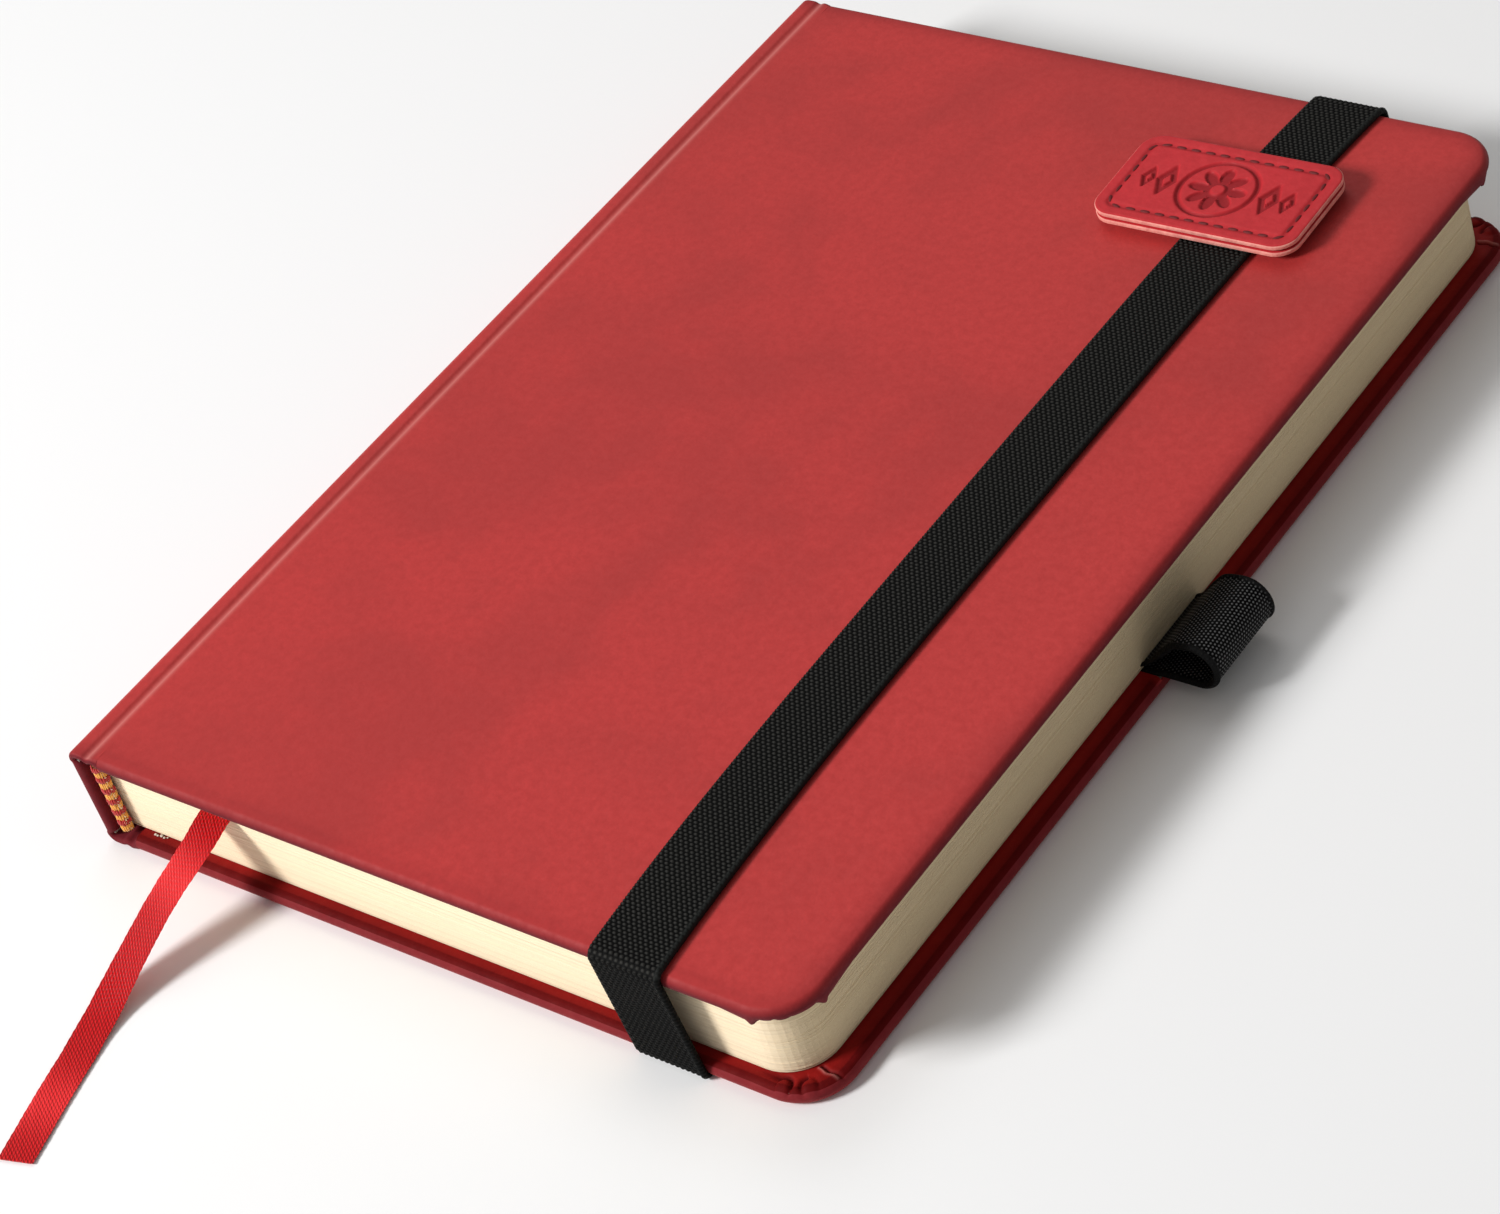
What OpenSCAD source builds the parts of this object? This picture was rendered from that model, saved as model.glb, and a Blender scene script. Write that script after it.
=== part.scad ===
// Hardback notebook with an elastic closure, a stitched leather tag, a pen loop and a ribbon marker.
// It lies closed on its back cover. X runs from the spine to the fore edge, Y from the tail to the
// head, and Z up. The origin is the middle of the back cover's underside.
// Inside the modules, places are measured from the spine's outer face and the tail edge.

/* [Closed book] */
// Width of the covers, from the spine's outer face to the fore edge
cover_w = 148; // [144:1:152]
// Height of the covers, from tail to head
cover_l = 210; // [200:1:220]
// Thickness of the closed book
book_t = 21; // [20:0.5:24]

/* [Covers] */
// Thickness of a finished cover
cover_t = 3; // [2.8:0.1:3.2]
// Thickness of the covering material
skin_t = 0.6; // [0.5:0.1:0.7]
// Radius of the covers' corners at the fore edge
corner_r = 9; // [6:0.5:12]
// Width of the covering turned in over the board's edges
turn_in = 13; // [12:1:15]
// Where the boards begin, measured from the spine's outer face
joint_w = 7; // [6.5:0.5:8]
// Radius of the spine's two long outer edges
spine_r = 2; // [1.5:0.25:2.5]
// Thickness of the paper pasted inside a cover
pastedown_t = 0.15; // [0.1:0.05:0.2]

/* [Pages] */
// How far the covers stand past the pages at head and tail
square_w = 3; // [2.5:0.5:4]
// How far the covers stand past the pages at the fore edge
fore_square = 4; // [3.5:0.5:5]
// Radius of the pages' corners
page_r = 8; // [6:0.5:10]
// Thickness of one leaf
leaf_t = 0.13; // [0.1:0.01:0.14]
// Thickness of the spine lining cloth
lining_t = 0.2; // [0.1:0.05:0.25]

/* [Elastic closure] */
// Width of the elastic
band_w = 13.4; // [12:0.2:14]
// Thickness of the elastic
band_t = 1.1; // [0.9:0.1:1.2]
// Where the elastic's middle crosses the cover's middle
band_x = 115.4; // [112:0.2:118]
// How far it is drawn towards the fore edge at head and tail
band_flare = 2.6; // [0:0.2:4]
// Where the elastic's middle passes under the back cover
band_anchor_x = 120.4; // [116:0.2:122]

/* [Leather tag] */
// Length of the tag across the cover
tag_w = 39; // [36:1:44]
// Width of the tag along the elastic
tag_l = 22; // [18:1:26]
// Radius of the tag's corners
tag_r = 4; // [3:0.5:6]
// Thickness of each of its two layers
tag_t = 1.1; // [0.8:0.1:1.3]
// The tag's middle, from the spine's outer face
tag_x = 110.6; // [105:0.2:116]
// The tag's middle, from the tail edge
tag_y = 179.6; // [150:0.2:190]
// Turn of the tag on the elastic
tag_turn = 1.5; // [0:0.5:4]
// Distance of the stitches from the tag's edge
stitch_inset = 2.5; // [2:0.1:3]
// Length of one stitch
stitch_l = 1.8; // [1.2:0.1:2.2]

/* [Pen loop] */
// Width of the pen loop along the fore edge
loop_w = 17.5; // [15:0.5:20]
// Where the pen loop begins, from the tail edge
loop_y = 94; // [80:1:110]
// Thickness of the pen loop's elastic
loop_t = 1.2; // [1:0.1:1.3]
// Outer radius of the pen loop
loop_r = 4.4; // [4.2:0.1:4.6]
// The loop's middle, past the covers' fore edge
loop_out = 6.4; // [6:0.1:7]
// Height of the loop's middle above the surface
loop_z = 6.9; // [6.6:0.1:7.4]

/* [Ribbon marker] */
// Width of the ribbon
ribbon_w = 6.5; // [5:0.5:7]
// Thickness of the ribbon
ribbon_t = 0.4; // [0.3:0.05:0.4]

/* [Hidden] */
$fn = 48;

// Colours of the finishes
leather_red = "#b83e3e";
lining_red = "#7a1414";
page_cream = "#fbf0d8";
board_grey = "#8f8a80";
elastic_black = "#1c1c1c";
thread_white = "#e8e4d8";
tag_red = "#c23b42";
ribbon_red = "#d01c28";
headband_gold = "#e0a030";

turn_in_t = 0.5;                                      // the turned-in edge, pared thinner than the outside
board_t = cover_t - skin_t - turn_in_t - pastedown_t;  // a board under the turned-in edge
spine_board_t = 1.3;
slack = 0.02;                                         // air between pieces that only lie on each other
fold_x = 3.4;                                         // where the folds of the sections begin
page_x = cover_w - fore_square;                       // the pages' fore edge
page_z0 = cover_t + slack;                            // lowest page surface
page_z1 = book_t - cover_t - slack;                   // highest page surface
leaf_pitch = leaf_t + 2 * slack;                      // from one turning leaf to the next
leaf_count = 6;                                       // the flyleaf and five leaves that turn
leaf_root_x = fold_x + 5.6;                           // turning leaves begin here, past their glued margin
leaves_z0 = page_z1 - leaf_count * leaf_pitch;        // underside of the lowest turning leaf
signature_count = 8;
signatures_z0 = page_z0 + leaf_t + slack;
signature_t = (leaves_z0 - slack - signatures_z0) / signature_count;
headband_r = 1.25;
anchor_depth = band_t + slack;                        // recess that the elastic lies in, under the cover
anchor_slit = 13;                                     // the slit it enters by, from the cover's edge
anchor_end = 24;                                      // where its glued end stops
band_top = book_t + 0.1 + band_t;
band_side = band_t + 0.1;                             // how far the elastic stands past head and tail
band_foot_z = 1.6;                                    // where the moving legs meet the anchored ends
tag_z = band_top + 0.1;
loop_x = cover_w + loop_out;
ribbon_z = signatures_z0 + (signature_count - 1) * signature_t;

// The ribbon's route outside the pages, from the tail edge of the pages to its free end.
RIBBON_PATH = [
    [29.4, 2.8, 15.2], [29.5, 1, 14.9], [29.6, -2, 14], [29.3, -6, 12.6],
    [28.6, -10, 10.8], [27.8, -14, 8.6], [27.1, -18, 6.2], [26.6, -22, 4],
    [26.5, -26, 2.2], [26.9, -30, 1], [27.6, -34, 0.5], [28.6, -38, 0.3],
    [29.8, -43, 0.3], [31.1, -48, 0.3], [32.5, -53, 0.3], [34, -58.5, 0.3]
];

// Moves what is measured from the spine's outer face and the tail edge into the model's frame.
module from_corner() {
    translate([-cover_w / 2, -cover_l / 2, 0]) children();
}

// A sheet outline from x0 to x1 and y0 to y1, square at the spine and rounded at the fore edge.
module sheet(x0, x1, y0, y1, r) {
    translate([x0, y0]) square([x1 - x0 - r, y1 - y0]);
    translate([x1 - 2 * r, y0 + r]) square([2 * r, y1 - y0 - 2 * r]);
    for (y = [y0 + r, y1 - r])
        translate([x1 - r, y]) circle(r);
}

// A sheet outline set in from the covers' edges by the same amount on three sides.
module cover_outline(x0, inset) {
    sheet(x0, cover_w - inset, inset, cover_l - inset, corner_r - min(inset, corner_r - 1));
}

// The outline of the pages from x0 to the fore edge.
module page_outline(x0) {
    sheet(x0, page_x, square_w, cover_l - square_w, page_r);
}

// Turns a piece of the back cover over into the same piece of the front cover.
module as_front() {
    translate([0, 0, book_t]) mirror([0, 0, 1]) children();
}

// ---- pieces that both covers have, drawn as the back cover's, with the outside at z = 0 ----

module board() {
    translate([0, 0, skin_t]) linear_extrude(board_t) cover_outline(joint_w, skin_t);
    translate([0, 0, skin_t + board_t - 0.01]) linear_extrude(turn_in_t + 0.01)
        sheet(joint_w, cover_w - turn_in, turn_in, cover_l - turn_in, 1);
}

module cover_skin() {
    difference() {
        linear_extrude(cover_t - pastedown_t) cover_outline(joint_w, 0);
        translate([0, 0, skin_t]) linear_extrude(board_t) cover_outline(joint_w - 1, skin_t);
        translate([0, 0, skin_t + 0.1]) linear_extrude(cover_t)
            sheet(joint_w - 2, cover_w - turn_in, turn_in, cover_l - turn_in, 1);
    }
}

module pastedown() {
    translate([0, 0, cover_t - pastedown_t]) linear_extrude(pastedown_t)
        sheet(joint_w, page_x - 0.3, square_w + 0.3, cover_l - square_w - 0.3, page_r);
}

// The flexible strip between the spine and a board, pressed into a shallow groove.
module joint_strip() {
    groove = 0.9;
    outer = [[3, 0], [4.2, groove], [5.2, groove], [joint_w, 0]];
    inner = [[joint_w, skin_t], [5.2, groove + skin_t], [4.2, groove + skin_t], [3, skin_t]];
    translate([0, cover_l, 0]) rotate([90, 0, 0]) linear_extrude(cover_l)
        polygon(concat(outer, inner));
}

// ---- elastic where it passes under the back cover, and the room that is pressed for it ----

module anchor(extra) {
    x = band_anchor_x - band_w / 2 - extra;
    w = band_w + 2 * extra;
    translate([x, -band_side, 0]) cube([w, anchor_slit + band_side + band_t, anchor_depth + extra]);
    translate([x, anchor_slit - extra, 0]) cube([w, band_t + 2 * extra, 2 * band_t + extra]);
    translate([x, anchor_slit - extra, 1.2 - extra])
        cube([w, anchor_end - anchor_slit + 2 * extra, band_t + 2 * extra]);
}

module both_anchors(extra) {
    anchor(extra);
    translate([0, cover_l, 0]) mirror([0, 1, 0]) anchor(extra);
}

// The pen loop's two ends, flat between the back board and the paper pasted over it.
module loop_root_strip(extra) {
    translate([131 - extra, loop_y - extra, cover_t - pastedown_t - 0.55 - extra])
        cube([cover_w - 131.1 + 2 * extra, loop_w + 2 * extra, 0.55 + 2 * extra]);
}

// ---- back cover ----

module back_board() {
    color(board_grey) from_corner() difference() {
        board();
        both_anchors(0.05);
        loop_root_strip(0.02);
    }
}

module back_cover_skin() {
    color(leather_red) from_corner() difference() {
        cover_skin();
        both_anchors(0.05);
        loop_root_strip(0.02);
        translate([cover_w - square_w, loop_y - 0.02, cover_t - pastedown_t - 0.6])
            cube([square_w + 1, loop_w + 0.04, 2]);
    }
}

module back_pastedown() {
    color(page_cream) from_corner() pastedown();
}

module back_joint_skin() {
    color(leather_red) from_corner() joint_strip();
}

// ---- spine ----

// The spine's cross-section, with its two outer edges rounded.
module spine_section(inset) {
    r = spine_r - inset;
    difference() {
        union() {
            translate([inset, inset + r]) square([3 - inset, book_t - 2 * inset - 2 * r]);
            translate([inset + r, inset]) square([3 - inset - r, book_t - 2 * inset]);
            for (z = [inset + r, book_t - inset - r])
                translate([inset + r, z]) circle(r);
        }
        translate([3, 0]) square([2 * spine_r, book_t]);
    }
}

module along_spine(y0, y1) {
    translate([0, y1, 0]) rotate([90, 0, 0]) linear_extrude(y1 - y0) children();
}

module spine_board() {
    color(board_grey) from_corner() translate([skin_t, skin_t, spine_r])
        cube([spine_board_t, cover_l - 2 * skin_t, book_t - 2 * spine_r]);
}

module spine_skin() {
    color(leather_red) from_corner() difference() {
        along_spine(0, cover_l) spine_section(0);
        along_spine(skin_t, cover_l - skin_t) spine_section(skin_t);
        translate([skin_t + spine_board_t, -1, cover_t]) cube([3, cover_l + 2, book_t - 2 * cover_t]);
        translate([skin_t + spine_board_t, skin_t, skin_t])
            cube([3, cover_l - 2 * skin_t, book_t - 2 * skin_t]);
    }
}

module spine_lining() {
    color(thread_white) from_corner() translate([fold_x - lining_t - 0.56, 14, cover_t + 1])
        cube([lining_t, cover_l - 28, book_t - 2 * cover_t - 2]);
}

// Upright runs of thread across the folds, at the sewing stations.
module sewing_thread() {
    stations = 6;
    color(thread_white) from_corner()
        for (k = [0 : stations - 1])
            translate([3.12, 22 + k * (cover_l - 44) / (stations - 1), signatures_z0 + 0.5])
                cylinder(h = leaves_z0 - signatures_z0 - 1, r = 0.2);
}

// ---- pages ----

// Section number k, counted from the back. The upper one next to the ribbon is dented by it.
module signature(k) {
    z = signatures_z0 + (k - 1) * signature_t;
    color(page_cream) from_corner() difference() {
        union() {
            translate([0, 0, z]) linear_extrude(signature_t) page_outline(fold_x + signature_t / 2);
            translate([fold_x + signature_t / 2, square_w, z + signature_t / 2]) rotate([-90, 0, 0])
                cylinder(h = cover_l - 2 * square_w, r = signature_t / 2);
        }
        if (k == signature_count)
            ribbon_bed(slack, 3);
    }
}

module back_flyleaf() {
    color(page_cream) from_corner() translate([0, 0, page_z0]) linear_extrude(leaf_t)
        page_outline(fold_x + 0.4);
}

// The glued margins of the leaves that turn: they stay on the block.
module leaf_guards() {
    color(page_cream) from_corner()
        for (k = [0 : leaf_count - 1])
            translate([fold_x + 0.4, square_w, leaves_z0 + k * leaf_pitch + slack])
                cube([leaf_root_x - fold_x - 0.5, cover_l - 2 * square_w, leaf_t]);
}

// A leaf that turns, number k counted down from the front cover.
module turning_leaf(k) {
    color(page_cream) from_corner() translate([0, 0, page_z1 - (k + 1) * leaf_pitch + slack])
        linear_extrude(leaf_t) page_outline(leaf_root_x);
}

module front_flyleaf() {
    turning_leaf(0);
}

// A cloth-covered roll on the end of the spine folds, with its tape glued behind it.
module headband() {
    translate([fold_x + headband_r - 0.3, square_w - headband_r, page_z0 + 0.1])
        cylinder(h = page_z1 - page_z0 - 0.2, r = headband_r);
    translate([2.9, square_w - headband_r, page_z0 + 0.6])
        cube([0.4, 11, page_z1 - page_z0 - 1.2]);
}

module headband_tail() {
    color(headband_gold) from_corner() headband();
}

module headband_head() {
    color(headband_gold) from_corner() translate([0, cover_l, 0]) mirror([0, 1, 0]) headband();
}

// ---- front cover ----

module front_board() {
    color(board_grey) from_corner() as_front() board();
}

module front_cover_skin() {
    color(leather_red) from_corner() as_front() cover_skin();
}

module front_pastedown() {
    color(page_cream) from_corner() as_front() pastedown();
}

module front_joint_skin() {
    color(leather_red) from_corner() as_front() joint_strip();
}

// The strip of endpaper that crosses from the pages to the front cover.
module front_endpaper_fold() {
    color(page_cream) from_corner() translate([fold_x + 0.4, square_w, page_z1 + slack])
        cube([joint_w - fold_x - 0.45, cover_l - 2 * square_w, pastedown_t]);
}

// ---- elastic closure ----

// Middle of the elastic at the share t of the way from tail to head.
function band_mid(t) = band_x + band_flare * pow(2 * t - 1, 4);

module elastic_front() {
    steps = 16;
    left = [for (k = [0 : steps]) [band_mid(k / steps) - band_w / 2,
        -band_side + k / steps * (cover_l + 2 * band_side)]];
    right = [for (k = [steps : -1 : 0]) [band_mid(k / steps) + band_w / 2,
        -band_side + k / steps * (cover_l + 2 * band_side)]];
    translate([0, 0, band_top - band_t]) linear_extrude(band_t) polygon(concat(left, right));
}

// A leg of the elastic down past the pages, leaning towards its anchor.
module elastic_leg() {
    top = band_mid(0);
    outline = [
        [top - band_w / 2, band_top], [top + band_w / 2, band_top],
        [band_anchor_x + band_w / 2, band_foot_z], [band_anchor_x - band_w / 2, band_foot_z]
    ];
    translate([0, -0.1, 0]) rotate([90, 0, 0]) linear_extrude(band_t) polygon(outline);
}

module elastic_band() {
    color(elastic_black) from_corner() {
        elastic_front();
        elastic_leg();
        translate([0, cover_l, 0]) mirror([0, 1, 0]) elastic_leg();
    }
}

module elastic_anchors() {
    edge = band_side - 0.1;
    color(elastic_black) from_corner() {
        both_anchors(0);
        for (y = [-band_side, cover_l + 0.1])
            translate([band_anchor_x - band_w / 2, y, 0]) cube([band_w, edge, band_foot_z - 0.1]);
    }
}

// ---- leather tag on the elastic ----

module on_tag(z) {
    translate([tag_x, tag_y, z]) rotate([0, 0, tag_turn]) children();
}

module tag_outline() {
    square([tag_w - 2 * tag_r, tag_l], center = true);
    square([tag_w, tag_l - 2 * tag_r], center = true);
    for (x = [-1, 1], y = [-1, 1])
        translate([x * (tag_w / 2 - tag_r), y * (tag_l / 2 - tag_r)]) circle(tag_r);
}

module tag_lower_layer() {
    color(tag_red) from_corner() on_tag(tag_z) linear_extrude(tag_t) tag_outline();
}

module tag_upper_layer() {
    color(tag_red) from_corner() on_tag(tag_z + tag_t + 0.1) linear_extrude(tag_t) tag_outline();
}

// One row of stitches along X, of the given length, centred on the origin.
module stitch_row(length) {
    pitch = 2.9;
    count = floor(length / pitch);
    for (k = [0 : count])
        translate([(k - count / 2) * pitch - stitch_l / 2, -0.2, 0]) cube([stitch_l, 0.4, 0.2]);
}

module tag_stitching() {
    color(lining_red) from_corner() on_tag(tag_z + 2 * tag_t + 0.1) {
        for (s = [-1, 1]) {
            translate([0, s * (tag_l / 2 - stitch_inset), 0])
                stitch_row(tag_w - 2 * tag_r - 2);
            translate([s * (tag_w / 2 - stitch_inset), 0, 0]) rotate([0, 0, 90])
                stitch_row(tag_l - 2 * tag_r - 2);
        }
    }
}

// ---- pen loop ----

// The loop's section: round at the fore edge side, running to a point towards the covers.
module loop_section() {
    x = loop_x;
    z = loop_z;
    difference() {
        union() {
            translate([x, z]) circle(loop_r);
            polygon([
                [x, z + loop_r], [x - 3.6, z + loop_r - 0.6], [x - 7.2, z - 1.2], [x - 7.2, z - 1.9],
                [x - 5.8, z - 2.8], [x - 5.8, z - loop_r + 0.1], [x, z - loop_r]
            ]);
        }
        translate([x, z]) circle(loop_r - loop_t);
        polygon([
            [x, z + loop_r - loop_t], [x - 2.9, z + loop_r - loop_t - 0.5], [x - 4.9, z - 0.6],
            [x - 4.6, z - 2.4], [x - 2, z - loop_r + loop_t], [x, z - loop_r + loop_t]
        ]);
    }
}

module pen_loop() {
    color(elastic_black) from_corner() translate([0, loop_y + loop_w, 0]) rotate([90, 0, 0])
        linear_extrude(loop_w) loop_section();
}

module pen_loop_root() {
    color(elastic_black) from_corner() {
        loop_root_strip(0);
        translate([cover_w - square_w + 0.1, loop_y, cover_t - pastedown_t - 0.55])
            cube([square_w - 0.2, loop_w, 1.6]);
    }
}

// ---- ribbon marker ----

// The ribbon's straight run between the pages, from the spine at the head to the tail edge,
// longer at both ends by end_room and wider and thicker by extra.
module ribbon_bed(extra, end_room) {
    foot = RIBBON_PATH[0];
    top = [fold_x + 4, cover_l - square_w - 4];
    run = [foot[0] - top[0], square_w - top[1]];
    angle = atan2(run[1], run[0]);
    translate([foot[0], square_w, ribbon_z]) rotate([0, 0, angle + 180])
        translate([-end_room, -ribbon_w / 2 - extra, -1])
            cube([norm(run) + 2 * end_room, ribbon_w + 2 * extra, 1 + ribbon_t + extra]);
}

module ribbon_in_pages() {
    color(ribbon_red) from_corner() intersection() {
        ribbon_bed(0, 0);
        translate([0, square_w, ribbon_z + slack]) cube([page_x, cover_l, ribbon_t]);
    }
}

// A flat eight-sided ring of the ribbon, across the route at point k.
function ribbon_ring(k) =
    let (
        last = len(RIBBON_PATH) - 1,
        ahead = RIBBON_PATH[min(k + 1, last)] - RIBBON_PATH[max(k - 1, 0)],
        along = ahead / norm(ahead),
        side = cross(along, [0, 0, 1]) / norm(cross(along, [0, 0, 1])),
        up = cross(side, along),
        w = ribbon_w / 2,
        t = ribbon_t / 2
    )
    [for (c = [[-1, 0], [-0.97, 0.7], [-0.9, 1], [0.9, 1], [0.97, 0.7], [1, 0], [0.9, -1], [-0.9, -1]])
        RIBBON_PATH[k] + side * c[0] * w + up * c[1] * t];

module ribbon_free() {
    rings = len(RIBBON_PATH);
    sides = 8;
    points = [for (k = [0 : rings - 1]) each ribbon_ring(k)];
    walls = [for (k = [0 : rings - 2], s = [0 : sides - 1], half = [0, 1])
        let (a = k * sides + s, b = k * sides + (s + 1) % sides)
        half == 0 ? [a, a + sides, b + sides] : [a, b + sides, b]];
    start = [for (s = [0 : sides - 1]) s];
    finish = [for (s = [sides - 1 : -1 : 0]) (rings - 1) * sides + s];
    color(ribbon_red) from_corner() polyhedron(points, concat([start], walls, [finish]));
}

back_board();
back_cover_skin();
back_pastedown();
back_joint_skin();
spine_board();
spine_skin();
spine_lining();
sewing_thread();
signature(1);  // signature_1
signature(2);  // signature_2
signature(3);  // signature_3
signature(4);  // signature_4
signature(5);  // signature_5
signature(6);  // signature_6
signature(7);  // signature_7
signature(8);  // signature_8
back_flyleaf();
leaf_guards();
headband_tail();
headband_head();
front_flyleaf();
turning_leaf(1);  // leaf_1
turning_leaf(2);  // leaf_2
turning_leaf(3);  // leaf_3
turning_leaf(4);  // leaf_4
turning_leaf(5);  // leaf_5
front_board();
front_cover_skin();
front_pastedown();
front_joint_skin();
front_endpaper_fold();
elastic_band();
elastic_anchors();
tag_lower_layer();
tag_upper_layer();
tag_stitching();
pen_loop();
pen_loop_root();
ribbon_in_pages();
ribbon_free();
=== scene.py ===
# %% [markdown]
# # A hardback notebook with an elastic closure
# The solids of the book come ready-made and stay where they are. This file gives them their looks:
# grained leather, woven elastic, paper, thread and satin. It starts by loading the solids as a
# fixed frame, so that every new piece can be placed from them and can move with them.

# %% Load the fixed frame
import math
import bpy
import bmesh
import numpy as np
from mathutils import Matrix, Vector


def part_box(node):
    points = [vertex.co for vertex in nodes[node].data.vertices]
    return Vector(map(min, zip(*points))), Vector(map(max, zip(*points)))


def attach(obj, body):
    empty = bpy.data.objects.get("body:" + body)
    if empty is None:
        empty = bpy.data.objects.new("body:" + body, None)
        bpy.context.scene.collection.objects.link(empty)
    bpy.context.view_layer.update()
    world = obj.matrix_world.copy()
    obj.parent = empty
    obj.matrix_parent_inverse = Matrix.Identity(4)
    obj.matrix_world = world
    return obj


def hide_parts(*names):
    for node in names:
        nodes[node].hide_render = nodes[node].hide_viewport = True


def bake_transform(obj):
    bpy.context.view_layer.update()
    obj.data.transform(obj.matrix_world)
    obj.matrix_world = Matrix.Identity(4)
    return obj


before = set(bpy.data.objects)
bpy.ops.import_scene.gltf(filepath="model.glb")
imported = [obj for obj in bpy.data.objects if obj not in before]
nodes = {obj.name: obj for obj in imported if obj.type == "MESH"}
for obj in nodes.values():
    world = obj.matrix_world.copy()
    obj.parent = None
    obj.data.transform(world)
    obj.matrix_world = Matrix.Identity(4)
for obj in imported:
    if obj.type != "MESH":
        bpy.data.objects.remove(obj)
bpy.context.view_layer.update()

print("solids loaded:", len(nodes))

# %% [markdown]
# ## Measuring from one corner
# A bookbinder measures from the spine and from the tail edge. These helpers do the same, in
# millimetres, and turn the result into the frame's metres. The covers' sizes are read from the
# solids, so nothing here can drift away from them. The joint runs from JOINT_X to the board's edge
# at BOARD_X, and the leather, SKIN_T thick, is turned in by TURN_IN.

# %% Sizes of the book
MM = 0.001
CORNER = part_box("spine_skin")[0]
COVER_W = (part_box("back_cover_skin")[1].x - CORNER.x) / MM
COVER_L = (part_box("back_cover_skin")[1].y - CORNER.y) / MM
BOOK_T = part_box("front_cover_skin")[1].z / MM
PAGE_X = (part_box("signature_1")[1].x - CORNER.x) / MM
PAGE_Y0 = (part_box("signature_1")[0].y - CORNER.y) / MM
JOINT_X, BOARD_X = 3.0, 7.0
CORNER_R, PAGE_R = 9.0, 8.0
SKIN_T = 0.6
TURN_IN = 13.0
print("covers", round(COVER_W, 2), "x", round(COVER_L, 2), "mm, book", round(BOOK_T, 2), "mm thick")


def metres(points):
    """Points measured in millimetres from the spine and tail, as points of the frame."""
    return np.asarray(points, float) * MM + np.array([CORNER.x, CORNER.y, 0.0])


def box_mm(node):
    """A solid's lowest and highest corner, in millimetres from the spine and tail."""
    low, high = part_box(node)
    return [(np.array(p) - np.array([CORNER.x, CORNER.y, 0.0])) / MM for p in (low, high)]


# %% [markdown]
# ## The camera
# The book is seen from above its tail edge, over the fore edge's near corner, through a long lens,
# with the camera turned a little about its own line of sight. A rotation matrix is used because it
# says exactly that: where the camera looks, and which way is up in the picture.

# %% Camera
camera_data = bpy.data.cameras.new("camera")
camera_data.lens = 100.2
camera_data.sensor_width = 36.0
camera = bpy.data.objects.new("camera", camera_data)
bpy.context.scene.collection.objects.link(camera)
look = Vector((-0.5754, 0.5023, -0.6455)).normalized()
up = Vector((-0.2412, 0.6498, 0.7208))
up = (up - look * up.dot(look)).normalized()
turn = Matrix((look.cross(up), up, -look)).transposed().to_4x4()
camera.matrix_world = Matrix.Translation((0.3922, -0.3638, 0.4425)) @ turn
bpy.context.scene.camera = camera
print("camera", [round(v, 3) for v in camera.location])

# %% [markdown]
# ## Floor and light
# A plain pale floor, two soft lights and a dim even sky. The main light stands at the left in front
# of the tail edge, so the tail of the pages is bright, the fore edge is in shade, and the elastic's
# shadow falls towards the fore edge. The weak second one opens up the shadows behind the book. The
# plain standard view keeps the leather's red as it is mixed.


# %% Floor, lights and sky
def principled(name, colour, roughness=0.5, **more):
    """A new material, its node tree and its main shader."""
    made = bpy.data.materials.new(name)
    made.use_nodes = True
    tree = made.node_tree
    shader = tree.nodes["Principled BSDF"]
    shader.inputs["Base Color"].default_value = (*colour, 1)
    shader.inputs["Roughness"].default_value = roughness
    for socket, value in more.items():
        shader.inputs[socket.replace("_", " ")].default_value = value
    made.diffuse_color = (*colour, 1)
    return made, tree, shader


floor_mesh = bpy.data.meshes.new("floor")
FLOOR_HALF, FLOOR_Z = 6, -0.0001
floor_mesh.from_pydata([(x * FLOOR_HALF, y * FLOOR_HALF, FLOOR_Z)
                        for x, y in ((-1, -1), (1, -1), (1, 1), (-1, 1))], [], [(0, 1, 2, 3)])
floor = bpy.data.objects.new("floor", floor_mesh)
bpy.context.scene.collection.objects.link(floor)
floor_finish, _, _ = principled("floor_white", (0.93, 0.93, 0.93), 0.8, Specular_IOR_Level=0.1)
floor_mesh.materials.append(floor_finish)

world = bpy.data.worlds.new("studio")
bpy.context.scene.world = world
world.use_nodes = True
sky = world.node_tree.nodes["Background"]
sky.inputs["Color"].default_value = (1, 0.99, 0.98, 1)
sky.inputs["Strength"].default_value = 0.27


def soft_light(name, place, aim, size, power):
    """A square area light that faces the point it is aimed at."""
    data = bpy.data.lights.new(name, "AREA")
    data.size, data.energy = size, power
    light = bpy.data.objects.new(name, data)
    bpy.context.scene.collection.objects.link(light)
    light.location = place
    light.rotation_mode = "QUATERNION"
    light.rotation_quaternion = (Vector(aim) - Vector(place)).to_track_quat("-Z", "Y")


soft_light("key_light", (-0.78, -1.15, 1.0), (0.02, -0.05, 0), 0.42, 29)
soft_light("top_light", (-0.5, 0.5, 1.15), (0.05, 0, 0), 0.8, 3)
bpy.context.scene.view_settings.view_transform = "Standard"

# %% [markdown]
# ## Helpers for meshes
# Most of the book is made of thin things with a known outline: covers, leaves, the tag. A loft
# joins a list of outlines with the same number of points, ring after ring, and closes the first
# and last ring with one face each. Strips such as the elastic are lofts whose rings are their
# cross-sections. One function turns any of them into a piece.


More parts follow.
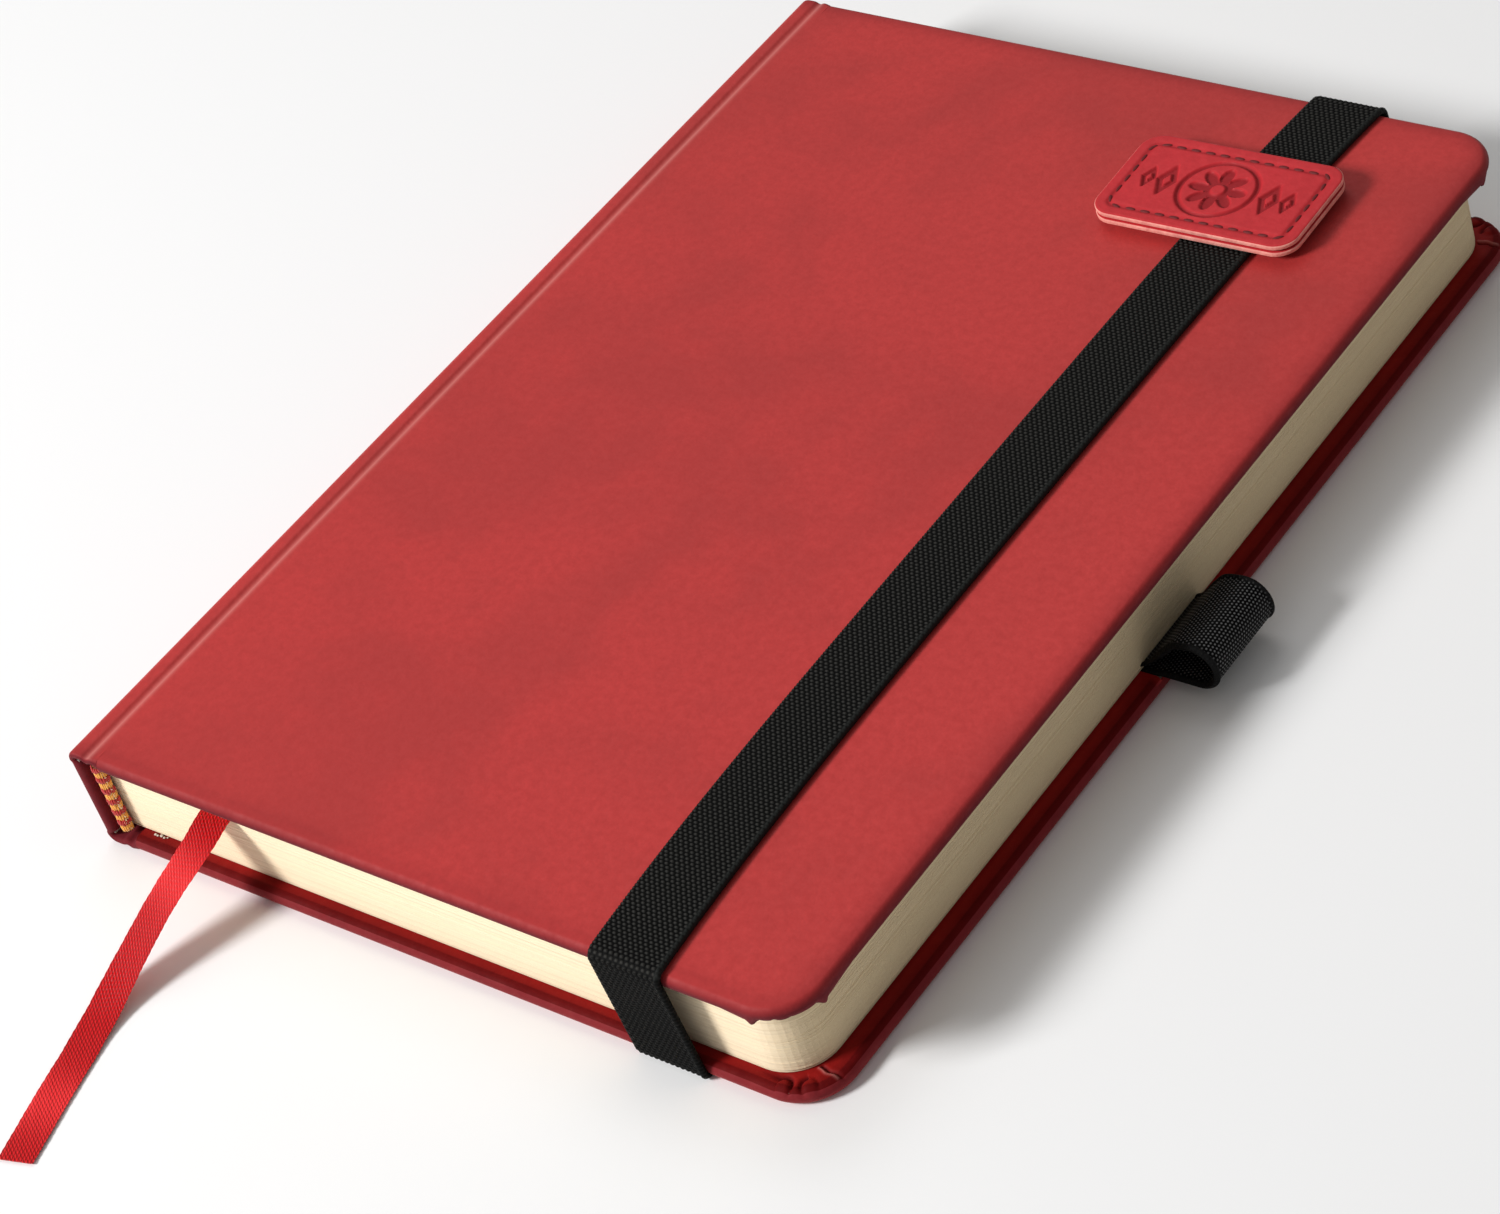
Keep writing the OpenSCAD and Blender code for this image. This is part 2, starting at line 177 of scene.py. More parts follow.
# %% Outlines, lofts and pieces
def outline(x0, x1, y0, y1, r_spine, r_fore, inset=0.0, spine_inset=0.0, side=20, arc=14):
    """A closed outline, set in from its edges, with the same number of points at any inset."""
    rs = max(r_spine - inset, 0.0) if r_spine else 0.0
    rf = max(r_fore - inset, 0.25)
    x0, x1, y0, y1 = x0 + spine_inset, x1 - inset, y0 + inset, y1 - inset
    corners = [(x0 + rs, y0 + rs, rs, 180), (x1 - rf, y0 + rf, rf, 270),
               (x1 - rf, y1 - rf, rf, 0), (x0 + rs, y1 - rs, rs, 90)]
    points, bends = [], []
    for k, (cx, cy, r, a0) in enumerate(corners):
        count = arc if (r_spine or k in (1, 2)) else 0
        turns = [math.radians(a0 + 90 * i / max(count, 1)) for i in range(count + 1)]
        bends.append([(cx + r * math.cos(a), cy + r * math.sin(a)) for a in turns])
    for k in range(4):
        points += bends[k]
        (ax, ay), (bx, by) = bends[k][-1], bends[(k + 1) % 4][0]
        points += [(ax + (bx - ax) * i / side, ay + (by - ay) * i / side)
                   for i in range(1, side)]
    return np.array(points)


def ring_at(flat, z):
    """An outline lifted to one height, or to a height for each point."""
    return np.column_stack([flat, np.broadcast_to(z, len(flat))])


def loft(rings):
    """Vertices and faces of a closed skin over rings with equal numbers of points."""
    count = len(rings[0])
    faces = []
    for base in range(0, (len(rings) - 1) * count, count):
        for i in range(count):
            j = (i + 1) % count
            faces.append((base + i, base + j, base + count + j, base + count + i))
    faces.append(tuple(range(count))[::-1])
    faces.append(tuple(range((len(rings) - 1) * count, len(rings) * count)))
    return np.concatenate(rings), faces


def piece(name, verts, faces, materials, smooth=True, uv=None, values=None, sharp=40):
    """A new object from points in millimetres, closed and with its faces outwards."""
    mesh = bpy.data.meshes.new(name)
    mesh.from_pydata(metres(verts).tolist(), [], faces)
    for value_name, value in (values or {}).items():
        mesh.attributes.new(value_name, "FLOAT", "POINT").data.foreach_set(
            "value", np.asarray(value, np.float32))
    if uv is not None:
        layer = mesh.uv_layers.new(name="run")
        index = np.zeros(len(mesh.loops), np.int32)
        mesh.loops.foreach_get("vertex_index", index)
        layer.data.foreach_set("uv", np.asarray(uv, np.float32)[index].ravel())
    work = bmesh.new()
    work.from_mesh(mesh)
    bmesh.ops.recalc_face_normals(work, faces=work.faces)
    work.to_mesh(mesh)
    work.free()
    for material in materials if isinstance(materials, (list, tuple)) else [materials]:
        mesh.materials.append(material)
    made = bpy.data.objects.new(name, mesh)
    bpy.context.scene.collection.objects.link(made)
    if smooth:
        mesh.shade_smooth()
        mesh.set_sharp_from_angle(angle=math.radians(sharp))
    return made


# %% [markdown]
# ## Helpers for node trees
# Shader effects and repeated shapes are both drawn as nodes. `add` makes a node and wires it in one
# line. `grow` runs a geometry tree on an object: it sets the tree's inputs by their identifiers,
# keeps the result as a plain mesh, and takes the modifier away, because the other programs that
# read this book know only plain meshes.


# %% Node helpers
def add(tree, kind, inputs=None, **settings):
    """A new node with its settings, and each input set or linked."""
    made = tree.nodes.new(kind)
    for setting, value in settings.items():
        setattr(made, setting, value)
    for socket, value in (inputs or {}).items():
        if isinstance(value, bpy.types.NodeSocket):
            tree.links.new(value, made.inputs[socket])
        else:
            made.inputs[socket].default_value = value
    return made


def maths(tree, operation, a, b=0.0, c=0.0):
    """One sum, as a node."""
    return add(tree, "ShaderNodeMath", {0: a, 1: b, 2: c}, operation=operation).outputs[0]


def new_tree(name, kind, inputs, outputs):
    """A node group with named inputs and outputs, its input node and its output node."""
    tree = bpy.data.node_groups.new(name, kind)
    for label, socket, value in inputs:
        made = tree.interface.new_socket(name=label, in_out="INPUT", socket_type=socket)
        if value is not None:
            made.default_value = value
    for label, socket in outputs:
        tree.interface.new_socket(name=label, in_out="OUTPUT", socket_type=socket)
    return tree, tree.nodes.new("NodeGroupInput"), tree.nodes.new("NodeGroupOutput")


def grow(obj, tree, values):
    """Runs a geometry tree on an object and keeps the result as its mesh."""
    modifier = obj.modifiers.new("grow", "NODES")
    modifier.node_group = tree
    for item in tree.interface.items_tree:
        if item.item_type == "SOCKET" and item.in_out == "INPUT" and item.name in values:
            modifier[item.identifier] = values[item.name]
    obj.update_tag()
    graph = bpy.context.evaluated_depsgraph_get()
    mesh = bpy.data.meshes.new_from_object(obj.evaluated_get(graph), depsgraph=graph)
    obj.modifiers.remove(modifier)
    obj.data = mesh


# %% [markdown]
# ## Shader groups
# Four effects turn up in more than one finish, so each is a group that is built once: the grain and
# clouding of leather, the painted rim shade and pale marks of leather, the knotted columns of
# elastic, and the fibres of paper. They put out masks and heights only. The shader stays in each
# material.

# %% Leather grain
grain, grain_in, grain_out = new_tree(
    "Leather grain", "ShaderNodeTree",
    [("Pores per metre", "NodeSocketFloat", 1500.0), ("Clouds per metre", "NodeSocketFloat", 24.0)],
    [("Cloud", "NodeSocketFloat"), ("Height", "NodeSocketFloat"), ("Speck", "NodeSocketFloat")])
where = add(grain, "ShaderNodeTexCoord").outputs["Object"]
cells = add(grain, "ShaderNodeTexVoronoi", {"Vector": where, "Scale": grain_in.outputs[0],
                                            "Randomness": 1.0}, feature="SMOOTH_F1")
creased = add(grain, "ShaderNodeTexNoise", {"Vector": where, "Scale": 620.0, "Detail": 5.0,
                                            "Roughness": 0.62})
cloud_a = add(grain, "ShaderNodeTexNoise", {"Vector": where, "Scale": grain_in.outputs[1],
                                            "Detail": 3.0, "Roughness": 0.55,
                                            "Distortion": 0.35})
cloud_b = add(grain, "ShaderNodeTexNoise", {"Vector": where, "Scale": 95.0, "Detail": 4.0,
                                            "Roughness": 0.6})
cloud = maths(grain, "ADD", maths(grain, "MULTIPLY", cloud_a.outputs["Fac"], 0.72),
              maths(grain, "MULTIPLY", cloud_b.outputs["Fac"], 0.28))
spread = add(grain, "ShaderNodeMapRange", {"Value": cloud, "From Min": 0.36, "From Max": 0.62},
             interpolation_type="SMOOTHSTEP")
grain.links.new(spread.outputs[0], grain_out.inputs["Cloud"])
height = maths(grain, "ADD", maths(grain, "MULTIPLY", cells.outputs["Distance"], 0.55),
               maths(grain, "MULTIPLY", creased.outputs["Fac"], 0.6))
grain.links.new(height, grain_out.inputs["Height"])
speck = add(grain, "ShaderNodeMapRange", {"Value": creased.outputs["Fac"], "From Min": 0.35,
                                          "From Max": 0.65})
grain.links.new(speck.outputs[0], grain_out.inputs["Speck"])
print(grain.name, "of", len(grain.nodes), "nodes")

# %% Painted rim shade and pale marks
rim_shade_and_pale_marks, edge_in, edge_out = new_tree(
    "Rim shade and pale marks", "ShaderNodeTree", [("Unevenness", "NodeSocketFloat", 0.25)],
    [("Rim", "NodeSocketFloat"), ("Tear_and_highlight", "NodeSocketFloat")])
# The rim mask is painted shade: rolled edges, undersides, folds and hollows are painted darker.
rim = add(rim_shade_and_pale_marks, "ShaderNodeAttribute", attribute_name="rim").outputs["Fac"]
# The second mask is pale marks: a torn crease in the leather, and a painted highlight along the
# joint.
tear_and_highlight = add(rim_shade_and_pale_marks, "ShaderNodeAttribute", attribute_name="tear_and_highlight").outputs["Fac"]
# Noise makes the painted shade uneven along the rims.
painted_light = add(rim_shade_and_pale_marks, "ShaderNodeTexNoise",
          {"Vector": add(rim_shade_and_pale_marks, "ShaderNodeTexCoord").outputs["Object"], "Scale": 240.0,
           "Detail": 3.0})
shake = maths(rim_shade_and_pale_marks, "MULTIPLY", maths(rim_shade_and_pale_marks, "SUBTRACT", painted_light.outputs["Fac"], 0.5),
              edge_in.outputs[0])
wobble = maths(rim_shade_and_pale_marks, "MULTIPLY", rim, maths(rim_shade_and_pale_marks, "ADD", shake, 1.0))
held = add(rim_shade_and_pale_marks, "ShaderNodeClamp", {"Value": wobble})
rim_shade_and_pale_marks.links.new(held.outputs[0], edge_out.inputs["Rim"])
rim_shade_and_pale_marks.links.new(tear_and_highlight, edge_out.inputs["Tear_and_highlight"])
print(rim_shade_and_pale_marks.name, "of", len(rim_shade_and_pale_marks.nodes), "nodes")


# %% Knotted columns
def ripple(tree, value):
    """A row of bumps, one for each whole number: the size of the sine of pi times the value."""
    return maths(tree, "ABSOLUTE", maths(tree, "SINE", maths(tree, "MULTIPLY", value, math.pi)))


beaded, columns_in, columns_out = new_tree(
    "Knotted columns", "ShaderNodeTree",
    [("Column", "NodeSocketFloat", 1.0), ("Knot", "NodeSocketFloat", 0.66),
     ("Sway", "NodeSocketFloat", 0.2), ("Stagger", "NodeSocketFloat", 0.0),
     ("Gap", "NodeSocketFloat", 0.22)],
    [("Knot", "NodeSocketFloat")])
KEEP_POSITIVE = 1000.0
run = add(beaded, "ShaderNodeSeparateXYZ",
          {0: add(beaded, "ShaderNodeUVMap", uv_map="run").outputs[0]})
in_columns = maths(beaded, "DIVIDE", run.outputs[0], columns_in.outputs["Column"])
column = maths(beaded, "FLOOR", in_columns)
odd_column = maths(beaded, "MODULO", maths(beaded, "ADD", column, KEEP_POSITIVE), 2.0)
in_knots = maths(beaded, "ADD", maths(beaded, "DIVIDE", run.outputs[1], columns_in.outputs["Knot"]),
                 maths(beaded, "MULTIPLY", odd_column, columns_in.outputs["Stagger"]))
whole_knots = maths(beaded, "FLOOR", maths(beaded, "ADD", in_knots, KEEP_POSITIVE))
odd_knot = maths(beaded, "MODULO", whole_knots, 2.0)
side = maths(beaded, "SUBTRACT", maths(beaded, "MULTIPLY", odd_knot, 2.0), 1.0)
sway = maths(beaded, "MULTIPLY", side, columns_in.outputs["Sway"])
swayed = maths(beaded, "ADD", in_columns, sway)
knot = maths(beaded, "MULTIPLY", ripple(beaded, swayed), ripple(beaded, in_knots))
shaped = add(beaded, "ShaderNodeMapRange", {"Value": knot, "From Min": columns_in.outputs["Gap"],
                                            "From Max": 0.92})
beaded.links.new(shaped.outputs[0], columns_out.inputs["Knot"])
print(beaded.name, "of", len(beaded.nodes), "nodes")

# %% Paper fibres
fibres, fibres_in, fibres_out = new_tree(
    "Paper fibres", "ShaderNodeTree", [("Lines per metre", "NodeSocketFloat", 2600.0)],
    [("Tone", "NodeSocketFloat"), ("Edge lines", "NodeSocketFloat"), ("Height", "NodeSocketFloat")])
where = add(fibres, "ShaderNodeTexCoord").outputs["Object"]
tone = add(fibres, "ShaderNodeTexNoise", {"Vector": where, "Scale": 60.0, "Detail": 4.0})
fine = add(fibres, "ShaderNodeTexNoise", {"Vector": where, "Scale": 2600.0, "Detail": 3.0})
drawn_out = add(fibres, "ShaderNodeCombineXYZ", {0: 6.0, 1: 6.0, 2: fibres_in.outputs[0]})
layers = add(fibres, "ShaderNodeVectorMath", {0: where, 1: drawn_out.outputs[0]},
             operation="MULTIPLY")
lines = add(fibres, "ShaderNodeTexNoise", {"Vector": layers.outputs[0], "Scale": 1.0,
                                           "Detail": 3.0, "Roughness": 0.7})
upright = add(fibres, "ShaderNodeSeparateXYZ",
              {0: add(fibres, "ShaderNodeNewGeometry").outputs["True Normal"]}).outputs[2]
side_on = maths(fibres, "SUBTRACT", 1.0, maths(fibres, "ABSOLUTE", upright))
edge_lines = maths(fibres, "MULTIPLY", lines.outputs["Fac"], side_on)
fibres.links.new(tone.outputs["Fac"], fibres_out.inputs["Tone"])
fibres.links.new(edge_lines, fibres_out.inputs["Edge lines"])
fibres.links.new(maths(fibres, "ADD", fine.outputs["Fac"], edge_lines), fibres_out.inputs["Height"])
print("shader groups", [t.name for t in bpy.data.node_groups])

# %% [markdown]
# ## Finishes
# Each material mixes its own colours with those masks. The cover's leather has smoky clouds a few
# centimetres wide, a fine grain, and rims painted a dull deep crimson as painted shade where the
# leather rolls round the board. The margin turned in on the inside is painted darker all over, as
# painted shade.


# %% Leather finishes
def use(tree, group, values=None):
    """Places a shader group in a material, with its values."""
    made = tree.nodes.new("ShaderNodeGroup")
    made.node_tree = group
    for name, value in (values or {}).items():
        made.inputs[name].default_value = value
    return made


def mix(tree, fac, a, b):
    """A colour mix of two colours or sockets."""
    made = add(tree, "ShaderNodeMix", data_type="RGBA")
    for socket, value in ((0, fac), (6, a), (7, b)):
        if isinstance(value, bpy.types.NodeSocket):
            tree.links.new(value, made.inputs[socket])
        else:
            made.inputs[socket].default_value = value if socket == 0 else (*value, 1)
    return made.outputs[2]


def bump(tree, shader, height, strength, distance):
    """Feeds a height into the shader's normal."""
    made = add(tree, "ShaderNodeBump", {"Height": height, "Strength": strength,
                                        "Distance": distance})
    tree.links.new(made.outputs[0], shader.inputs["Normal"])


# Pale colour of a torn crease, and of the painted highlight along the joint.
TEAR_AND_HIGHLIGHT_COLOUR = (0.62, 0.25, 0.22)


def leather(name, light, dark, rim_shade_colour, roughness, sheen=0.0, gloss=0.2):
    """Grained leather with clouds, painted shade at rims and hollows, and pale marks where it has
    them.
    """
    made, tree, shader = principled(name, light, roughness, Specular_IOR_Level=gloss,
                                    Sheen_Weight=sheen)
    g, h = use(tree, grain), use(tree, rim_shade_and_pale_marks)
    body = mix(tree, g.outputs["Cloud"], dark, light)
    body = mix(tree, maths(tree, "MULTIPLY", g.outputs["Speck"], 0.4), body,
               tuple(c * 0.72 for c in light))
    # Painted shade: where the rim mask is high, the colour goes to the dark rim colour.
    body = mix(tree, h.outputs["Rim"], body, rim_shade_colour)
    # Pale marks: torn creases, and a painted highlight along the joint groove.
    body = mix(tree, maths(tree, "MULTIPLY", h.outputs["Tear_and_highlight"], 0.75), body, TEAR_AND_HIGHLIGHT_COLOUR)
    tree.links.new(body, shader.inputs["Base Color"])
    rough = maths(tree, "ADD", maths(tree, "MULTIPLY", g.outputs["Speck"], 0.12),
                  roughness - 0.06)
    rough = maths(tree, "MULTIPLY_ADD", h.outputs["Rim"], 0.3, rough)
    tree.links.new(rough, shader.inputs["Roughness"])
    bump(tree, shader, g.outputs["Height"], 0.45, 0.14 * MM)
    return made


cover_leather = leather("cover_leather", (0.52, 0.038, 0.036), (0.43, 0.034, 0.032),
                        (0.13, 0.005, 0.010), 0.5, 0.03)
# The turned-in margin is painted darker all over, as painted shade.
inner_leather_painted_shade = leather("inner_leather_painted_shade", (0.33, 0.012, 0.010), (0.24, 0.009, 0.008),
                        (0.07, 0.001, 0.002), 0.45, 0.0, 0.07)
tag_leather = leather("tag_leather", (0.60, 0.028, 0.036), (0.50, 0.024, 0.030),
                      (0.12, 0.003, 0.006), 0.44)
print("leathers", [m.name for m in (cover_leather, inner_leather_painted_shade, tag_leather)])

# %% [markdown]
# Cut edges show the leather's pale backing. Board, lining cloth, glue and thread are two tones of
# the same fibres. Paper carries faint lines where its leaves are seen edge-on, and its faces that
# turn to the fore edge are painted darker and browner, as painted shade.


# %% Cut edge, board, cloth and paper finishes
cut_edge, tree, shader = principled("tag_cut_edge", (0.85, 0.34, 0.28), 0.8)
g = use(tree, grain, {"Pores per metre": 2600.0})
tree.links.new(mix(tree, g.outputs["Speck"], (0.90, 0.38, 0.31), (0.72, 0.24, 0.20)),
               shader.inputs["Base Color"])
bump(tree, shader, g.outputs["Height"], 0.5, 0.2 * MM)


def pressed_fibres(name, dark, light, roughness, relief):
    """Board, cloth or glue: two tones of fibre, and their relief in millimetres."""
    made, tree, shader = principled(name, light, roughness)
    f = use(tree, fibres)
    tree.links.new(mix(tree, f.outputs["Tone"], dark, light), shader.inputs["Base Color"])
    if relief:
        bump(tree, shader, f.outputs["Height"], 0.6, relief * MM)
    return made


def paper(name, light, dark, line):
    """Uncoated paper: fibres, fine lines where leaves are seen edge-on, painted shade on the fore
    edge.
    """
    made, tree, shader = principled(name, light, 0.85, Specular_IOR_Level=0.2)
    f = use(tree, fibres)
    body = mix(tree, f.outputs["Tone"], dark, light)
    lined = add(tree, "ShaderNodeMapRange", {"Value": f.outputs["Edge lines"],
                                             "From Min": 0.48, "From Max": 0.70})
    body = mix(tree, maths(tree, "MULTIPLY", lined.outputs[0], 0.40), body, line)
    # Painted shade: faces that turn towards the fore edge are painted darker and browner.
    to_fore = add(tree, "ShaderNodeSeparateXYZ",
                  {0: add(tree, "ShaderNodeNewGeometry").outputs["True Normal"]}).outputs[0]
    fore = add(tree, "ShaderNodeMapRange", {"Value": to_fore, "From Min": 0.25, "From Max": 0.98,
                                            "To Max": 0.7})
    body = mix(tree, fore.outputs[0], body, tuple(c * k for c, k in zip(light, (0.66, 0.62, 0.5))))
    tree.links.new(body, shader.inputs["Base Color"])
    bump(tree, shader, f.outputs["Height"], 0.3, 0.06 * MM)
    return made


board_grey = pressed_fibres("board_grey", (0.20, 0.18, 0.15), (0.36, 0.33, 0.28), 0.9, 0.2)
lining_cloth = pressed_fibres("lining_cloth", (0.62, 0.58, 0.5), (0.82, 0.78, 0.7), 0.9, 0.2)
dried_glue = pressed_fibres("dried_glue", (0.42, 0.34, 0.28), (0.66, 0.58, 0.5), 0.45, 0)
page_paper = paper("page_paper", (0.95, 0.80, 0.58), (0.91, 0.76, 0.54), (0.56, 0.41, 0.25))
end_paper = paper("end_paper", (0.92, 0.78, 0.57), (0.87, 0.73, 0.52), (0.50, 0.38, 0.25))
print("papers and boards", page_paper.name, end_paper.name, board_grey.name, lining_cloth.name)

# %% [markdown]
# Elastic and ribbon are woven. The elastic is nearly black; its gaps are painted near-black as
# painted shade and the tops of its knots paler as painted highlight. The ribbon is satin: its long
# floats run at a slant and shine, so it is smoother than the rest, and it has a painted highlight
# where its fold turns to the light. Thread is a matt twist of fibres.


# %% Woven finishes
def attribute(tree, name):
    """One of the masks that a piece carries on its points."""
    return add(tree, "ShaderNodeAttribute", attribute_name=name).outputs["Fac"]


def satin(name, dark, light, highlight_colour, across_per_mm, along_per_mm, slant):
    """Satin whose floats follow the strip's own run, painted paler where its highlight mask is
    high.
    """
    made, tree, shader = principled(name, light, 0.36, Specular_IOR_Level=0.26)
    run = add(tree, "ShaderNodeSeparateXYZ",
              {0: add(tree, "ShaderNodeUVMap", uv_map="run").outputs[0]})
    across = maths(tree, "MULTIPLY", run.outputs[0], across_per_mm)
    along = maths(tree, "ADD", maths(tree, "MULTIPLY", run.outputs[1], along_per_mm),
                  maths(tree, "MULTIPLY", across, slant))
    floats = maths(tree, "MULTIPLY", ripple(tree, across), ripple(tree, along))
    fleck = add(tree, "ShaderNodeTexNoise", {
        "Vector": add(tree, "ShaderNodeCombineXYZ", {0: across, 1: along}).outputs[0],
        "Scale": 2.3, "Detail": 2.0})
    body = mix(tree, floats, dark, light)
    body = mix(tree, maths(tree, "MULTIPLY", fleck.outputs["Fac"], 0.5), body,
               tuple(c * 0.55 for c in light))
    # Painted highlight: paler where the strip's highlight mask is high.
    body = mix(tree, maths(tree, "MULTIPLY", attribute(tree, "painted_highlight"), 0.7), body, highlight_colour)
    tree.links.new(body, shader.inputs["Base Color"])
    bump(tree, shader, floats, 0.8, 0.2 * MM)
    return made


def knotted(name, gap, top, piping, weave):
    """Black elastic: painted shade in gaps and legs, painted highlight on knots, smooth where
    "piped" is 1.
    """
    made, tree, shader = principled(name, top, 0.55, Specular_IOR_Level=0.06)
    knot = use(tree, beaded, weave).outputs["Knot"]
    # Painted shade and highlight: the gaps are near-black and the knot tops paler.
    body = mix(tree, knot, gap, top)
    body = mix(tree, attribute(tree, "piped"), body, piping)
    # Painted shade: below the front cover's top the band is painted darker.
    body = mix(tree, maths(tree, "MULTIPLY", attribute(tree, "leg_shade"), 0.75), body, gap)
    tree.links.new(body, shader.inputs["Base Color"])
    bump(tree, shader, knot, 0.7, 0.16 * MM)
    return made


BAND_WEAVE = {"Column": 1.0, "Knot": 0.66, "Sway": 0.2, "Stagger": 0.0}
LOOP_WEAVE = {"Column": 0.55, "Knot": 0.64, "Sway": 0.0, "Stagger": 0.5}
# Each elastic: colour of its gaps (painted shade), its knot tops (painted highlight), its piping.
elastic_black = knotted("elastic_black", (0.001, 0.001, 0.001), (0.033, 0.032, 0.029),
                        (0.014, 0.015, 0.014), BAND_WEAVE)
loop_black = knotted("loop_black", (0.0004, 0.0004, 0.0004), (0.16, 0.16, 0.16),
                     (0.007, 0.007, 0.007), {**LOOP_WEAVE, "Gap": 0.5})
ribbon_satin = satin("ribbon_satin", (0.30, 0.0005, 0.002), (0.86, 0.010, 0.014),
                     (1.0, 0.042, 0.046), 1.7, 1.3, 0.75)


def thread(name, dark, light, roughness=0.6, sheen=0.25):
    """Twisted thread, a little uneven in colour."""
    made, tree, shader = principled(name, light, roughness, Sheen_Weight=sheen)
    f = use(tree, fibres)
    tree.links.new(mix(tree, f.outputs["Height"], dark, light), shader.inputs["Base Color"])
    bump(tree, shader, f.outputs["Height"], 0.5, 0.08 * MM)
    return made


gold_thread = thread("gold_thread", (0.62, 0.20, 0.012), (0.95, 0.45, 0.06))
red_thread = thread("red_thread", (0.30, 0.006, 0.004), (0.52, 0.012, 0.008))
core_thread = thread("core_thread", (0.16, 0.03, 0.008), (0.34, 0.08, 0.015))
pale_thread = thread("pale_thread", (0.70, 0.52, 0.28), (0.92, 0.80, 0.56))
white_thread = thread("white_thread", (0.70, 0.67, 0.6), (0.90, 0.87, 0.8))
tag_thread = thread("tag_thread", (0.08, 0.001, 0.002), (0.20, 0.004, 0.006), 0.7, 0.0)
print("finishes", len(bpy.data.materials))

# %% [markdown]
# ## The ribbon marker
# A satin ribbon leaves the pages at the tail, drops off the block and lies on the table. Its route
# is a smooth line through a few points, and its cross-section is carried along that line: a thin
# lens with small loops along both selvedges. Two stretches of it are painted paler, as painted
# highlight where its curve turns to the light.


# %% Ribbon route
RIBBON_POINTS = [
    (29.4, 2.8, 15.2), (29.5, 1, 14.9), (29.6, -2, 14), (29.3, -6, 12.6), (28.6, -10, 10.8),
    (27.8, -14, 8.6), (27.1, -18, 6.2), (26.6, -22, 4), (26.5, -26, 2.2), (26.9, -30, 1),
    (27.6, -34, 0.5), (28.6, -38, 0.3), (29.8, -43, 0.3), (31.1, -48, 0.3), (32.5, -53, 0.3),
    (34, -58.5, 0.3)]


def run_along(points):
    """How far along a line each of its points is."""
    return np.concatenate([[0], np.cumsum(np.linalg.norm(np.diff(points, axis=0), axis=1))])


def smooth_line(points, step):
    """A rounded line through the points, cut into even steps."""
    p = np.array(points, float)
    p = np.vstack([2 * p[0] - p[1], p, 2 * p[-1] - p[-2]])
    dense = []
    for k in range(1, len(p) - 2):
        for t in np.arange(0, 1, 0.05):
            dense.append(0.5 * ((2 * p[k]) + (p[k + 1] - p[k - 1]) * t
                                + (2 * p[k - 1] - 5 * p[k] + 4 * p[k + 1] - p[k + 2]) * t ** 2
                                + (3 * p[k] - p[k - 1] - 3 * p[k + 1] + p[k + 2]) * t ** 3))
    dense = np.array(dense + [p[-2]])
    run = run_along(dense)
    want = np.linspace(0, run[-1], int(run[-1] / step) + 1)
    return np.column_stack([np.interp(want, run, dense[:, k]) for k in range(3)]), want


ribbon_line, ribbon_run = smooth_line(RIBBON_POINTS, 0.4)
print("ribbon's line", len(ribbon_line), "points")

# %% Ribbon strip
RIBBON_W, RIBBON_T, PICOT, PICOT_PITCH = 6.5, 0.24, 0.10, 0.55
# Where along the run the painted highlight lies, and how wide it is, in millimetres.
PAINTED_HIGHLIGHT_AT = ((12, 5), (54, 6))
heading = np.gradient(ribbon_line, axis=0)
heading /= np.linalg.norm(heading, axis=1)[:, None]
sideways = np.cross(heading, (0, 0, 1.0))
sideways /= np.linalg.norm(sideways, axis=1)[:, None]
lift = np.cross(sideways, heading)
rings, ribbon_uv, painted_highlights = [], [], []
samples = np.linspace(-1, 1, 15)
for k in range(len(ribbon_line)):
    picot = PICOT * abs(math.sin(ribbon_run[k] * math.pi / PICOT_PITCH))
    half_w = RIBBON_W / 2 - PICOT + picot
    settle = 0.10 * math.exp(-((ribbon_run[k] - 26) / 16) ** 2)
    top = [(s * half_w, RIBBON_T / 2 * (1 - 0.5 * s ** 8) + settle * (s * s - 0.35)
            + 0.02 * math.sin(9 * s + ribbon_run[k] * 1.3)) for s in samples]
    low = [(s * half_w, h - RIBBON_T * (1 - 0.6 * s ** 8)) for s, h in
           zip(samples[::-1], [t[1] for t in top][::-1])]
    section = np.array(top + low)
    rings.append(ribbon_line[k] + section[:, :1] * sideways[k] + section[:, 1:] * lift[k])
    ribbon_uv += [(a, ribbon_run[k]) for a in section[:, 0]]
    # Painted highlight: two stretches of the run are painted paler, where the curve turns to light.
    highlight_amount = sum(math.exp(-((ribbon_run[k] - at) / wide) ** 2) for at, wide in PAINTED_HIGHLIGHT_AT)
    painted_highlights += [highlight_amount * (0.8 + 0.2 * s * s) for s in list(samples) + list(samples)]
verts, faces = loft(rings)
verts[:, 2] = np.maximum(verts[:, 2], 0.03)
ribbon = piece("ribbon_marker", verts, faces, ribbon_satin, uv=ribbon_uv,
               values={"painted_highlight": painted_highlights})
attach(ribbon, "book_block")
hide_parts("ribbon_free")
print("ribbon", round(ribbon_run[-1], 1), "mm,", len(faces), "faces")

# %% [markdown]
# ## Covers
# A cover is a board with leather drawn over it: flat outside, a full round edge, and a margin
# turned in on the inside. That shape is the same all the way round, so it is lofted from one
# profile of insets and depths. At the fore edge's corners the surplus leather is gathered in two
# round pleats with a torn crease beside them. They are made by moving the points there, and so are
# the two little nubs that they leave below the front cover's rim. The rims and the pleats' folds
# are painted darker, as painted shade, and the front cover's rims a little more than the back
# cover's.


# %% Profile of a leather-covered board
EDGE_R, SKIN_DEPTH, BOARD_DEPTH = 1.44, 2.85, 2.4
PROFILE_REACH = 34
ROWS_OUTSIDE = 14


